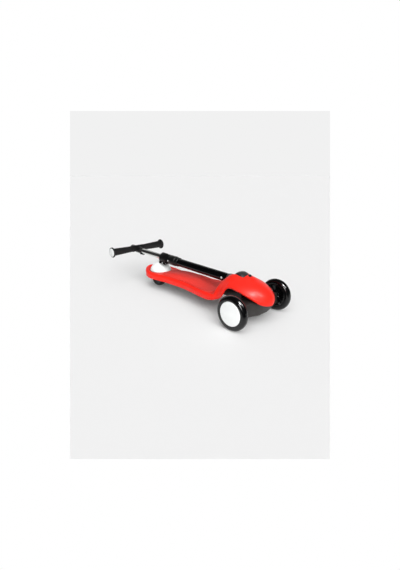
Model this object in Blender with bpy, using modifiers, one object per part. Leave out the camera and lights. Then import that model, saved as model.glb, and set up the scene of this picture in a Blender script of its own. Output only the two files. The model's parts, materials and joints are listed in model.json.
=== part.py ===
"""Folded three-wheel kick scooter, at real size in metres.

+X runs forward along the deck, +Y to the rider's left and +Z up. The origin lies on the floor
below the middle of the folded scooter's bounding box. Heights are above the floor, and
lengthwise places are measured from the front axle, forwards positive.
"""
import math

import bmesh
import bpy
import numpy as np
from mathutils import Matrix, Vector

# Facets round a turn
FINE = 24
ROUND = 16
SMALL = 10
TINY = 8
OFF_STEP = 0.37             # share of a facet by which round cutters are turned

# Clearances
SEAT_GAP = 0.0003           # between pieces that seat on each other
RUNNING_GAP = 0.0012        # round pieces that swing inside a fixed one

# Wheels
FRONT_WHEEL_RADIUS = 0.060
FRONT_WHEEL_WIDTH = 0.025
TRACK = 0.2534              # between the mid planes of the front wheels
REAR_WHEEL_RADIUS = 0.040
REAR_WHEEL_WIDTH = 0.029
WHEELBASE = 0.5385
FRONT_TYRE_DEPTH = 0.0175   # tread to core
REAR_TYRE_DEPTH = 0.012
SHOULDER_DROP = 0.0095      # how much smaller a tyre is at its side faces
SPOKE_COUNT = 10
HUB_RADIUS = 0.0145
BEARING_RADIUS = 0.0110
BEARING_BORE = 0.0040
BEARING_WIDTH = 0.0065
CAP_THICKNESS = 0.0018
CAP_CROWN = 0.0022          # how far the white hub cap bulges

# Deck and hood
EDGE_HEIGHT = 0.052         # lower edge of the deck
FLOOR_HEIGHT = 0.0745       # recessed standing surface
RIM_RISE = 0.0035           # rolled rim above the standing surface
RIM_WIDTH = 0.017
SKIN = 0.0032               # wall of the red moulding
TAIL_MID = -0.505
TAIL_LENGTH = 0.093
TAIL_HALF_WIDTH = 0.068
TAIL_KICK = 0.0075          # how much higher the rim stands at the very back
CROWN_RISE = 0.0160         # of the middle of the standing surface above its rim
CROWN_BACK = -0.530         # where that rise starts
CROWN_FULL = -0.360         # where it is complete
CROWN_LEVEL_END = -0.275    # where it starts to fall again
CROWN_FRONT = -0.235        # where it is lost
CROWN_LEVEL_HALF = 0.0140   # half width of the level strip along its middle
CROWN_POWER = 4.0           # of its fall towards the sides
SOLID_BACK = -0.405         # the room below is level from here back, over the yoke's tongue
SOLID_FADE = 0.030
WAIST_REAR = -0.415
WAIST_FRONT = -0.330
WAIST_HALF_WIDTH = 0.0595
FLARE_MID = -0.155
FLARE_HALF_WIDTH = 0.082
HOOD_MID = -0.067           # highest and widest part of the egg-shaped hood
HOOD_NOSE = 0.065
HOOD_TAIL = -0.151
HOOD_HALF_WIDTH = 0.0855
HOOD_BASE = 0.076           # height of the egg's widest level
HOOD_TOP = 0.147
ARCH_START = -0.168         # where the lower edge leaves the deck's level
ARCH_TOP_START = -0.060
ARCH_TOP_END = -0.056
ARCH_TOP = 0.1150           # red edge above the front wheel's rear half
NOSE_EDGE = 0.0685          # red edge at the very front
ARCH_SHAPE = ((0.0, 0.0), (0.24, 0.049), (0.46, 0.162), (0.60, 0.270), (0.72, 0.440),
              (0.78, 0.575), (0.81, 0.71), (0.845, 0.885), (0.90, 0.968), (1.0, 1.0))
NOSE_SHAPE = ((0.0, 0.0), (0.16, 0.062), (0.33, 0.168), (0.48, 0.308), (0.63, 0.467),
              (0.75, 0.649), (0.855, 0.828), (0.94, 0.946), (1.0, 1.0))
SIDE_ROLL = 0.0110          # how far the rim rolls down before the side wall, on the deck
TIP_ANGLE = 0.12            # of the round tail and nose where a small flat closes them
DECK_ROLL = 0.0090
HOOD_ROLL = 0.0030
WALL_DRAFT = 0.0015         # lean of the side walls
OPEN_BELOW = 0.0100         # how far the room inside the moulding is cut below its edge
HEM = 0.0055                # upright band above the hood's lower edge
CHEEK_RISE = 0.0100         # bulge of the hood beside the column slot
CHEEK_MID = -0.083
CHEEK_RUN = 0.047
CHEEK_SIDE = 0.026
CHEEK_SPREAD = 0.030
COLLAR_RISE = 0.0085        # raised lip of the hood in front of the column slot
COLLAR_MID = -0.034
COLLAR_RUN = 0.034
COLLAR_SPREAD = 0.040
SLOT_HALF_WIDTH = 0.0225
SLOT_FLOOR = 0.098
SLOT_ROUND = 0.008
SLOT_FRONT = -0.0400
SLOT_BACK = -0.175
RIB_WALL = 0.0026
RIB_PITCH = 0.044
RIB_DEPTH = 0.0150
RIB_START = -0.395          # place of the rearmost cross rib
RIB_END = -0.202            # no cross rib in front of this
RAIL_DEPTH = 0.0130
RAIL_BACK = -0.422
RAIL_FRONT = -0.197
PAD_THICKNESS = 0.0016
PAD_BACK = -0.464
PAD_FRONT = -0.160
PAD_MARGIN = 0.0110         # from the deck's side to the pad
PAD_BACK_ROUND = 0.022      # length over which the pad's rear end is rounded
PAD_FRONT_ROUND = 0.045
HULL_FADE = 0.040           # length over which the deck's section turns into the hood's
HULL_LEAD = 0.012           # how far behind the hood's tail that starts
EGG_START = -0.135          # where the side line leaves the deck's flare for the egg
EGG_END = -0.085

# Column and its fold
HINGE_X = -0.066
HINGE_HEIGHT = 0.1345
COLUMN_DROP = 0.0132        # of the column's axis below the hinge pin, folded
HINGE_PIN_RADIUS = 0.0040
CHEEK_INNER = 0.0194        # bracket cheeks beside the knuckle
CHEEK_OUTER = 0.0244
CHEEK_RADIUS = 0.0105
BRACKET_BACK = -0.215
BRACKET_HALF_WIDTH = 0.026
BRACKET_PLATE = 0.005
BRACKET_ARM_LOW = 0.0895    # underside of the arm over the truck
BRACKET_ARM_TOP = 0.1040
BRACKET_ARM_HALF_WIDTH = 0.0110
BRACKET_BOSS_RADIUS = 0.0150
BRACKET_BOSS_LENGTH = 0.0140
FOLD_SLOPE = math.radians(2.01)
KNUCKLE_HALF_WIDTH = 0.0190
KNUCKLE_HEAD_RADIUS = 0.0265
KNUCKLE_NECK_RADIUS = 0.0185
KNUCKLE_SHOULDER = 0.059    # from the hinge to where the tube begins
LOWER_TUBE_RADIUS = 0.0165
LOWER_TUBE_WALL = 0.0020
LOWER_TUBE_END = 0.412
UPPER_TUBE_RADIUS = 0.0113
UPPER_TUBE_WALL = 0.0015
UPPER_TUBE_START = 0.262
HANDLEBAR_AT = 0.6263       # from the hinge along the column
HANDLEBAR_OFFSET = 0.0055   # of its axis in front of the column's
SPIGOT_LENGTH = 0.038
KNUCKLE_ROUND = 0.0075      # how much slimmer the knuckle's head is at its side faces
KNUCKLE_BOLT_AT = 0.080
KNUCKLE_BOLT_RADIUS = 0.0025
KNUCKLE_BOLT_HEAD = 0.0042
GUIDE_LENGTH = 0.038

# Release button
BUTTON_X = -0.0300
BUTTON_RADIUS = 0.0058
BUTTON_TOP = 0.1575
BUTTON_SKIRT = 0.1335
BUTTON_STEM_RADIUS = 0.0035
BUTTON_STEM_END = 0.1080
BUTTON_BOSS_RADIUS = 0.0065
BUTTON_BOSS_TOP = 0.1220

# Clamp
CLAMP_START = 0.3290
CLAMP_BODY_START = 0.3460
CLAMP_BAND_START = 0.3910
CLAMP_END = 0.4380
CLAMP_LIP_RADIUS = 0.0188
CLAMP_BODY_RADIUS = 0.0205
CLAMP_BAND_RADIUS = 0.0197
CLAMP_GROOVE_START = 0.3860
CLAMP_GROOVE_RADIUS = 0.0175
CLAMP_SPLIT = 0.0020
LUG_START = 0.4000          # split lug below the band
LUG_END = 0.4340
LUG_NEAR = 0.0115
LUG_FAR = 0.0145
LUG_TOP = 0.0120
LUG_BOTTOM = 0.0235
SKEWER_AT = 0.4170
SKEWER_DROP = 0.0191
SKEWER_RADIUS = 0.0022
SKEWER_EYE_WIDTH = 0.0058
LEVER_PIN_RADIUS = 0.0018
LEVER_BARREL_RADIUS = 0.0058
LEVER_INNER_RADIUS = 0.0200
LEVER_TIP_ANGLE = math.radians(85.0)
LEVER_TIP_LIFT = 0.0012
LEVER_TAPER = 0.0030
COLLAR_SCREW_AT = 0.3800
LEVER_RADIUS = 0.0236
LEVER_WIDTH = 0.040

# Handlebar
BAR_HALF_LENGTH = 0.1390
BAR_RADIUS = 0.0105
BAR_WALL = 0.0016
T_RADIUS = 0.0150
T_HALF_WIDTH = 0.0310
T_FRONT = 0.0330            # of the column sleeve ahead of the bar
T_BACK = 0.0490
GRIP_INNER_RADIUS = 0.0135
GRIP_OUTER_RADIUS = 0.0165
FLANGE_RADIUS = 0.0230
FLANGE_WIDTH = 0.0060
END_CAP_RADIUS = 0.0190
END_CAP_CROWN = 0.0030
GRIP_START = 0.0330         # from the middle of the bar
GRIP_PAST_BAR = 0.0010      # of a grip beyond the end of the bar
T_RING_RADIUS = 0.0150
T_RING_WIDTH = 0.0040
T_SCREW_AT = 0.6520
T_SCREW_RISE = 0.0055
HOOK_REACH = 0.0155         # of the hook below the column, in front of the T
HOOK_HALF_WIDTH = 0.0040
HOOK_DEPTH = 0.0185

# Steering truck
KINGPIN_HEIGHT = 0.068      # of the pivot's middle, right above the axle
KINGPIN_ANGLE = math.radians(50.0)
KINGPIN_RADIUS = 0.0050
KINGPIN_HEAD_RADIUS = 0.0084
BEAM_BOTTOM = 0.0285
BEAM_TOP = 0.086
BEAM_FRONT = 0.036
BEAM_BACK = -0.034
BEAM_HALF_LENGTH = 0.098
BUSHING_RADIUS = 0.0125
BUSHING_LENGTH = 0.0120
BEAM_CORE = 0.0265          # thickness of the beam along the kingpin
AXLE_SHROUD_RADIUS = 0.0090
BEAM_END_FRONT = 0.022
BEAM_END_BACK = -0.020
BEAM_END_BOTTOM = 0.0345
BEAM_END_TOP = 0.078
BOLT_DEPTH = 0.022          # of an axle bolt in the end of the beam
CAP_SEAT = 0.0040           # how far in from a front wheel's face its cap sits
POCKET_DEPTH = 0.0085       # of the spoked side of a front wheel's core
WEB = 0.0030
SPOKE_INSET = 0.0008
SPOKE_WIDTH = 0.0030
SPRING_WIRE = 0.0012

# Brake
DOME_BEHIND = 0.0173        # of the dome's middle behind the tail's
DOME_HALF_LENGTH = 0.0488
DOME_HALF_WIDTH = 0.0448
DOME_BASE = 0.0770
DOME_TOP = 0.1200
DOME_WALL = 0.0026
DOME_SKIRT = 0.0015         # straight edge below the dome's base
DOME_BULGE = 1.6
DOME_ROUND = 1.4
BRAKE_PIN_AHEAD = 0.0560    # of the rear axle
BRAKE_PIN_HEIGHT = 0.0715
BRAKE_PIN_RADIUS = 0.0025
BRAKE_LUG_Y = 0.0185
BRAKE_LUG_WIDTH = 0.0040
BRAKE_LUG_RISE = 0.0035     # of a lug above the pin's middle
BRAKE_ARM_Y = 0.0140
BRAKE_ARM_WIDTH = 0.0034
BRAKE_GAP = 0.0045          # between the shoe and the tread, released
SHOE_HALF_LENGTH = 0.0150
SHOE_HALF_WIDTH = 0.0100
SHOE_THICKNESS = 0.0085
POST_AT = -0.530            # post between the dome and its shoe
POST_HALF_LENGTH = 0.0070
POST_HALF_WIDTH = 0.0060
CARRIER_PLATE = 0.0050
FORK_GAP = 0.0030           # between the rear wheel and the fork arms
FORK_ARM = 0.0050
FORK_LEAN = 0.030           # of an arm's root ahead of the axle
FORK_OVERLAP = 0.003        # of an arm into the plate
FORK_EYE_RADIUS = 0.0095
FORK_EYE_LEAD = 0.0010      # of the eye round the end of its arm
FORK_FLARE = 0.014          # half of what an arm gains in width up to its root
CARRIER_INSET = 0.0045      # of the plate from the inside of the tail
TONGUE_REACH = 0.013        # of the yoke's tongue ahead of the tail
TONGUE_WIDTH = 0.050
WHEEL_SLOT_GAP = 0.0035     # ahead of and behind the rear wheel

# Worked out from the sizes above
DOME_MID = TAIL_MID - DOME_BEHIND
HANDLEBAR_X = HINGE_X - HANDLEBAR_AT * math.cos(FOLD_SLOPE)
REAR_REACH = HANDLEBAR_X - max(T_BACK * math.cos(FOLD_SLOPE), FLANGE_RADIUS)
FRONT_REACH = max(HOOD_MID + (HOOD_NOSE - HOOD_MID) * math.cos(TIP_ANGLE), FRONT_WHEEL_RADIUS)
FRONT_AXLE = Vector((-(FRONT_REACH + REAR_REACH) / 2, 0.0, FRONT_WHEEL_RADIUS))
REAR_AXLE = Vector((FRONT_AXLE.x - WHEELBASE, 0.0, REAR_WHEEL_RADIUS))
HINGE = Vector((FRONT_AXLE.x + HINGE_X, 0.0, HINGE_HEIGHT))

PARTS = "three_wheel_kick_scooter"
CUTTERS = "cutters"


def clear_scene():
    for obj in list(bpy.data.objects):
        bpy.data.objects.remove(obj, do_unlink=True)


def collection(name):
    found = bpy.data.collections.get(name)
    if found is None:
        found = bpy.data.collections.new(name)
        bpy.context.scene.collection.children.link(found)
    return found


def linear(channel):
    if channel <= 0.04045:
        return channel / 12.92
    return ((channel + 0.055) / 1.055) ** 2.4


def material(name, colour, roughness, metallic=0.0):
    """A Principled material from an sRGB hex colour."""
    found = bpy.data.materials.get(name)
    if found is not None:
        return found
    made = bpy.data.materials.new(name)
    made.use_nodes = True
    shader = made.node_tree.nodes["Principled BSDF"]
    rgb = [linear(int(colour[i:i + 2], 16) / 255) for i in (1, 3, 5)]
    shader.inputs["Base Color"].default_value = (*rgb, 1.0)
    shader.inputs["Roughness"].default_value = roughness
    shader.inputs["Metallic"].default_value = metallic
    return made


def red_plastic():
    return material("red_moulded_plastic", "#EE3024", 0.35)


def pad_plastic():
    return material("red_textured_pad", "#CC4840", 0.65)


def white_plastic():
    return material("white_plastic", "#F2F4F3", 0.35)


def black_plastic():
    return material("black_plastic", "#232325", 0.45)


def black_paint():
    return material("gloss_black_paint", "#0B0B0C", 0.12)


def black_urethane():
    return material("black_urethane_tyre", "#161617", 0.22)


def chrome():
    return material("chrome_plate", "#D9DBDA", 0.08, 1.0)


def steel():
    return material("zinc_plated_steel", "#B9BCBC", 0.30, 1.0)


def rubber():
    return material("black_rubber", "#1D1D1E", 0.80)


def add(name, mesh, look, group=PARTS):
    """A mesh as a named object of the scooter, or as a cutter that is only a guide."""
    obj = bpy.data.objects.new(name, mesh)
    collection(group).objects.link(obj)
    if look is not None:
        mesh.materials.append(look)
    if group == CUTTERS:
        obj.hide_render = True
        obj.display_type = "WIRE"
    return obj


def mesh_of(name, bm, smooth_angle=None):
    bmesh.ops.recalc_face_normals(bm, faces=bm.faces)
    mesh = bpy.data.meshes.new(name)
    bm.to_mesh(mesh)
    bm.free()
    if smooth_angle is not None:
        mesh.shade_smooth()
        mesh.set_sharp_from_angle(angle=math.radians(smooth_angle))
    return mesh


def turn_to(axis):
    """The rotation that carries +Z onto an axis."""
    return Vector((0, 0, 1)).rotation_difference(Vector(axis).normalized()).to_matrix().to_4x4()


def cylinder(name, radius, length, centre, axis, look=None, group=PARTS, sides=ROUND, top=None, chamfer=0.0):
    """A cylinder, or a cone with another radius on top, about an axis through its middle. A
    cutter stands turned by part of a facet, so that none of its corners meets an edge."""
    spin = OFF_STEP * 2 * math.pi / sides if group == CUTTERS else 0.0
    bm = bmesh.new()
    bmesh.ops.create_cone(bm, cap_ends=True, cap_tris=False, segments=sides, radius1=radius,
                          radius2=radius if top is None else top, depth=length,
                          matrix=Matrix.Translation(centre) @ turn_to(axis) @ Matrix.Rotation(spin, 4, "Z"))
    obj = add(name, mesh_of(name, bm, 40), look, group)
    if chamfer:
        bevel(obj, chamfer)
    return obj


def box(name, size, centre, look=None, group=PARTS, chamfer=0.0, segments=1):
    bm = bmesh.new()
    bmesh.ops.create_cube(bm, size=1.0,
                          matrix=Matrix.Translation(centre) @ Matrix.Diagonal((*size, 1.0)))
    obj = add(name, mesh_of(name, bm, 40), look, group)
    if chamfer:
        bevel(obj, chamfer, segments)
    return obj


def bevel(obj, width, segments=1):
    made = obj.modifiers.new("Bevel", "BEVEL")
    made.width = width
    made.segments = segments
    made.limit_method = "ANGLE"
    made.angle_limit = math.radians(50)
    return obj


def turned(name, profile, centre, axis, look=None, group=PARTS, steps=ROUND, closed=False):
    """A turned piece: (radius, place along the axis) points, listed from the far end down its
    outer side, spun about the axis. A closed profile is a ring that has a bore."""
    mesh = bpy.data.meshes.new(name)
    points = [(radius, 0.0, along) for radius, along in profile]
    edges = [(i, i + 1) for i in range(len(points) - 1)]
    if closed:
        edges.append((len(points) - 1, 0))
    mesh.from_pydata(points, edges, [])
    obj = add(name, mesh, look, group)
    obj.matrix_world = Matrix.Translation(centre) @ turn_to(axis)
    screw = obj.modifiers.new("Screw", "SCREW")
    screw.steps = steps
    screw.render_steps = steps
    screw.use_merge_vertices = True
    screw.merge_threshold = 0.00001
    screw.use_smooth_shade = True
    return obj


def outline_plate(name, points, low, high, look=None, group=PARTS, chamfer=0.0):
    """A flat plate or prism: a plan outline from one height to another."""
    bm = bmesh.new()
    ring = [bm.verts.new((x, y, low)) for x, y in points]
    face = bm.faces.new(ring)
    lifted = bmesh.ops.extrude_face_region(bm, geom=[face])["geom"]
    verts = [v for v in lifted if isinstance(v, bmesh.types.BMVert)]
    bmesh.ops.translate(bm, verts=verts, vec=(0, 0, high - low))
    obj = add(name, mesh_of(name, bm, 40), look, group)
    if chamfer:
        bevel(obj, chamfer)
    return obj


def lofted(name, rings, look=None, group=PARTS, caps=True, closed=True, split=False):
    """A skin through rings of points that all have the same count. Split faces are triangles, so
    that two skins through like rings have like facets."""
    bm = bmesh.new()
    rows = [[bm.verts.new(point) for point in ring] for ring in rings]
    count = len(rows[0])
    for near, far in zip(rows, rows[1:]):
        for i in range(count if closed else count - 1):
            j = (i + 1) % count
            bm.faces.new((near[i], near[j], far[j], far[i]))
    if caps:
        bm.faces.new(rows[0])
        bm.faces.new(rows[-1])
    bmesh.ops.remove_doubles(bm, verts=bm.verts, dist=0.00002)
    if split:
        bmesh.ops.triangulate(bm, faces=bm.faces, quad_method="FIXED")
    return add(name, mesh_of(name, bm, 50), look, group)


def cut(obj, cutter, operation="DIFFERENCE"):
    made = obj.modifiers.new(cutter.name, "BOOLEAN")
    made.operation = operation
    made.object = cutter
    made.solver = "EXACT"
    return obj


def join(obj, other):
    """Other becomes a guide and its volume part of obj."""
    for group in list(other.users_collection):
        group.objects.unlink(other)
    collection(CUTTERS).objects.link(other)
    other.hide_render = True
    other.display_type = "WIRE"
    return cut(obj, other, "UNION")


def guide(name):
    """A free name for a cutter."""
    return f"cut_{name}"


def smooth(t):
    """An S-curve from 0 to 1."""
    t = np.clip(t, 0.0, 1.0)
    return t * t * (3 - 2 * t)


def between(x, start, end, low, high):
    return low + (high - low) * smooth((x - start) / (end - start))


# The red moulding: its plan outline, its lower edge and its upper skin

def bump(t):
    """A round hill of height 1 at 0 that ends at -1 and 1."""
    return np.clip(1 - np.square(t), 0.0, 1.0) ** 2


def curve_through(knots, x):
    """A curve through knots that never overshoots them."""
    px, pz = (np.array(side, float) for side in zip(*knots))
    slopes = np.diff(pz) / np.diff(px)
    joint = np.where(slopes[1:] * slopes[:-1] > 0,
                     2 * slopes[1:] * slopes[:-1] / (slopes[1:] + slopes[:-1] + 1e-12), 0.0)
    tangent = np.concatenate([slopes[:1] * 0.0, joint, slopes[-1:]])
    i = np.clip(np.searchsorted(px, x) - 1, 0, len(px) - 2)
    run = px[i + 1] - px[i]
    t = np.clip((x - px[i]) / run, 0.0, 1.0)
    return (pz[i] * (1 + 2 * t) * (1 - t) ** 2 + tangent[i] * run * t * (1 - t) ** 2
            + pz[i + 1] * t * t * (3 - 2 * t) + tangent[i + 1] * run * t * t * (t - 1))


def edge_height(x):
    """Lower edge: level along the deck, up round the wheel arch, then down to the nose."""
    run = (x - ARCH_START) / (ARCH_TOP_START - ARCH_START)
    arch = EDGE_HEIGHT + (ARCH_TOP - EDGE_HEIGHT) * curve_through(ARCH_SHAPE, run)
    run = (x - ARCH_TOP_END) / (HOOD_NOSE - ARCH_TOP_END)
    nose = ARCH_TOP + (NOSE_EDGE - ARCH_TOP) * curve_through(NOSE_SHAPE, run)
    return np.where(x < ARCH_TOP_END, arch, nose)


def along_egg(x, inset=0.0):
    """Square of the share of the egg's half length that x lies from its middle."""
    length = np.where(x < HOOD_MID, HOOD_MID - HOOD_TAIL, HOOD_NOSE - HOOD_MID) - inset
    return ((x - HOOD_MID) / length) ** 2


def ridge_height(x, inset=0.0):
    """The egg's profile along the middle."""
    return HOOD_BASE + (HOOD_TOP - HOOD_BASE - inset) * np.sqrt(np.clip(1 - along_egg(x, inset), 0, 1))


def half_width(x, inset=0.0):
    """Round tail, waist, flare ahead of the standing pad, then the egg at its lower edge."""
    share = 1 - ((TAIL_MID - x) / (TAIL_LENGTH - inset)) ** 2
    tail = (TAIL_HALF_WIDTH - inset) * np.sqrt(np.clip(share, 0, 1))
    waist = between(x, TAIL_MID, WAIST_REAR, TAIL_HALF_WIDTH, WAIST_HALF_WIDTH) - inset
    flare = between(x, WAIST_FRONT, FLARE_MID, WAIST_HALF_WIDTH, FLARE_HALF_WIDTH) - inset
    up = (edge_height(x) - HOOD_BASE) / (HOOD_TOP - HOOD_BASE - inset)
    share = 1 - along_egg(x, inset) - np.clip(up, 0, 1) ** 2
    egg = (HOOD_HALF_WIDTH - inset) * np.sqrt(np.clip(share, 0, 1))
    deck = np.where(x < TAIL_MID, tail, np.where(x < WAIST_FRONT, waist, flare))
    return between(x, EGG_START, EGG_END, deck, egg)


def hood_share(x):
    """0 along the deck and 1 where the section is all hood."""
    return smooth((x - HOOD_TAIL + HULL_LEAD) / HULL_FADE)


def rim_height(x):
    return FLOOR_HEIGHT + RIM_RISE + TAIL_KICK * smooth((TAIL_MID - x) / TAIL_LENGTH)


def from_outline(x, y):
    """Distance in plan from the deck's outline, round the tail too."""
    back = max((TAIL_MID - x) / TAIL_LENGTH, 0.0)
    if back == 0.0:
        return float(half_width(x)) - y
    scale = TAIL_HALF_WIDTH + (TAIL_LENGTH - TAIL_HALF_WIDTH) * back ** 2
    return scale * (1 - np.sqrt(back ** 2 + np.square(y / TAIL_HALF_WIDTH)))


def cheek(x, y):
    """Bulge of the hood on each side of the column slot and the lip in front of it."""
    beside = bump((x - CHEEK_MID) / CHEEK_RUN) * bump((np.abs(y) - CHEEK_SIDE) / CHEEK_SPREAD)
    ahead = bump((x - COLLAR_MID) / COLLAR_RUN) * bump(y / COLLAR_SPREAD)
    return CHEEK_RISE * beside + COLLAR_RISE * ahead


def crown_rise(x, y, reach, inset=0.0):
    """Rise of the standing surface: level along its middle, falling to nothing at its reach."""
    along = min(smooth((x - CROWN_BACK) / (CROWN_FULL - CROWN_BACK)),
                smooth((CROWN_FRONT - x) / (CROWN_FRONT - CROWN_LEVEL_END)))
    if inset:
        along *= smooth((x - SOLID_BACK) / SOLID_FADE)
    out = np.clip((y - CROWN_LEVEL_HALF) / max(reach - CROWN_LEVEL_HALF, SKIN), 0.0, 1.0)
    return CROWN_RISE * along * (1 - out ** CROWN_POWER)


def section(x, inset=0.0, crown_count=7, roll_count=3):
    """Half of a section at x, as (y, z) from the middle out: the crown up to the rim, a quarter
    turn that rolls over it, and the side wall down to the edge. With an inset it is the section
    of the room inside the moulding, which runs on below the edge."""
    low = float(edge_height(x))
    width = max(float(half_width(x, inset)), 0.0)
    hood = float(hood_share(x))
    rim = float(rim_height(x))
    band = (rim - SIDE_ROLL - low) * (1 - hood) + HEM * hood
    shoulder = low + max(band, 0.001)
    roll = min((DECK_ROLL - inset) * (1 - hood) + HOOD_ROLL * hood, 0.5 * width)
    y = (width - roll) * np.sin(np.linspace(0, math.pi / 2, crown_count))
    inward = smooth((RIM_WIDTH - inset - from_outline(x, y)) / (RIM_WIDTH - DECK_ROLL))
    rise = crown_rise(x, y, width - roll, inset)
    deck = FLOOR_HEIGHT + np.maximum((rim - FLOOR_HEIGHT) * inward, rise) - inset
    ridge = max(float(ridge_height(x, inset)), shoulder + 0.002)
    base = min(HOOD_BASE, shoulder)
    cut_off = 1 - ((shoulder - base) / (ridge - base)) ** 2
    crown = base + (ridge - base) * np.sqrt(1 - cut_off * (y / max(width, 1e-6)) ** 2)
    z = deck + (crown + cheek(x, y) - deck) * hood
    turn = np.linspace(0, math.pi / 2, roll_count + 1)[1:]
    y_roll = width - roll + roll * np.sin(turn)
    z_roll = shoulder + (z[-1] - shoulder) * np.cos(turn)
    end = low - (OPEN_BELOW if inset else 0.0)
    y_wall = [width - WALL_DRAFT * min(width / RIM_WIDTH, 1.0)]
    return np.stack([np.concatenate([y, y_roll, y_wall]), np.concatenate([z, z_roll, [end]])], 1)


def deck_stations(inset=0.0):
    """Places of the sections, closer together round the tail and the nose."""
    quarter = np.linspace(TIP_ANGLE, math.pi / 2, 8)
    round_tail = TAIL_MID - (TAIL_LENGTH - inset) * np.cos(quarter)
    straight = np.linspace(TAIL_MID, ARCH_START, 7)[1:]
    arch = np.linspace(ARCH_START, HOOD_MID, 11)[1:]
    nose = HOOD_MID + (HOOD_NOSE - inset - HOOD_MID) * np.cos(quarter[-2::-1])
    return np.concatenate([round_tail, straight, arch, nose])


def deck_body(name, look=None, inset=0.0, group=PARTS, lift=0.0, **counts):
    """A solid through the deck's sections: the moulding's outside, or the room inside it."""
    rings = []
    for x in deck_stations(inset):
        half = section(x, inset, **counts)
        left = [(FRONT_AXLE.x + x, y, z + lift) for y, z in half[::-1]]
        right = [(FRONT_AXLE.x + x, -y, z + lift) for y, z in half[1:]]
        rings.append(left + right)
    return lofted(name, rings, look, group, split=True)


def ellipse(mid_x, half_length, half_wide, count=FINE):
    turn = (np.arange(count) + 0.5) * 2 * math.pi / count
    return [(mid_x + half_length * math.cos(a), half_wide * math.sin(a)) for a in turn]


def deck_shell():
    """The red moulding: hollow and open below, with cross ribs and its openings."""
    shell = deck_body("deck_shell", red_plastic())
    cut(shell, deck_body(guide("deck_room"), inset=SKIN, group=CUTTERS, crown_count=6, roll_count=2))
    opening = ellipse(FRONT_AXLE.x + DOME_MID, DOME_HALF_LENGTH + RUNNING_GAP,
                      DOME_HALF_WIDTH + RUNNING_GAP)
    cut(shell, outline_plate(guide("dome_opening"), opening, EDGE_HEIGHT / 2, HOOD_TOP, group=CUTTERS))
    slot_top = HOOD_TOP + CHEEK_RISE + COLLAR_RISE + SLOT_HALF_WIDTH
    slot = box(guide("column_slot"), (SLOT_FRONT - SLOT_BACK, 2 * SLOT_HALF_WIDTH, slot_top - SLOT_FLOOR),
               (FRONT_AXLE.x + (SLOT_FRONT + SLOT_BACK) / 2, 0, (SLOT_FLOOR + slot_top) / 2),
               group=CUTTERS, chamfer=SLOT_ROUND, segments=3)
    cut(shell, slot)
    button = cylinder(guide("button_hole"), BUTTON_RADIUS + RUNNING_GAP / 2, HOOD_TOP - FLOOR_HEIGHT,
                      (FRONT_AXLE.x + BUTTON_X, 0, HOOD_TOP), (0, 0, 1), group=CUTTERS, sides=SMALL + 2)
    cut(shell, button)
    return join(shell, deck_ribs())


def deck_ribs():
    """Cross ribs and two rails, trimmed to end half way into the moulding's skin."""
    top = FLOOR_HEIGHT + CROWN_RISE
    blocks = bmesh.new()
    for x in np.arange(RIB_START, RIB_END, RIB_PITCH):
        size = (RIB_WALL, 2 * FLARE_HALF_WIDTH, top - FLOOR_HEIGHT + RIB_DEPTH)
        place = Matrix.Translation((FRONT_AXLE.x + x, 0, top - size[2] / 2))
        bmesh.ops.create_cube(blocks, size=1.0, matrix=place @ Matrix.Diagonal((*size, 1.0)))
    ribs = add("deck_ribs", mesh_of("deck_ribs", blocks), None, CUTTERS)
    for side in (-1, 1):
        size = (RAIL_FRONT - RAIL_BACK, RIB_WALL, top - FLOOR_HEIGHT + RAIL_DEPTH)
        middle = FRONT_AXLE.x + (RAIL_FRONT + RAIL_BACK) / 2
        join(ribs, box(f"rail_{side}", size, (middle, side * WAIST_HALF_WIDTH / 2, top - size[2] / 2)))
    return cut(ribs, deck_body(guide("rib_ends"), inset=SKIN / 2, group=CUTTERS), "INTERSECT")


def footboard_pad():
    """Standing pad that follows the crowned surface, with the deck's outline and round ends."""
    back = PAD_BACK + PAD_BACK_ROUND
    front = PAD_FRONT - PAD_FRONT_ROUND
    side = [(x, float(half_width(x)) - PAD_MARGIN) for x in np.linspace(back, front, 8)]
    rounded = [(front + PAD_FRONT_ROUND * math.sin(a), side[-1][1] * math.cos(a))
               for a in np.linspace(0, math.pi / 2, 6)[1:]]
    start = [(back - PAD_BACK_ROUND * math.sin(a), side[0][1] * math.cos(a) ** 0.5)
             for a in np.linspace(math.pi / 2, 0, 5)[:-1]]
    half = start + side + rounded
    points = half + [(x, -y) for x, y in half[-2:0:-1]]
    pad = outline_plate("footboard_pad", [(FRONT_AXLE.x + x, y) for x, y in points],
                        EDGE_HEIGHT, HOOD_TOP, pad_plastic())
    top = deck_body(guide("pad_top"), group=CUTTERS, lift=SEAT_GAP + PAD_THICKNESS)
    cut(pad, top, "INTERSECT")
    return cut(pad, deck_body(guide("pad_seat"), group=CUTTERS, lift=SEAT_GAP))


# Pieces fixed to the deck

def kingpin_axis():
    return Vector((math.cos(KINGPIN_ANGLE), 0, math.sin(KINGPIN_ANGLE)))


def kingpin_point(along):
    """A point on the kingpin's axis, measured up it from the middle of the truck."""
    return Vector((FRONT_AXLE.x, 0, KINGPIN_HEIGHT)) + along * kingpin_axis()


def bracket_boss_start():
    return BEAM_CORE / 2 + BUSHING_LENGTH + 2 * SEAT_GAP


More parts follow.
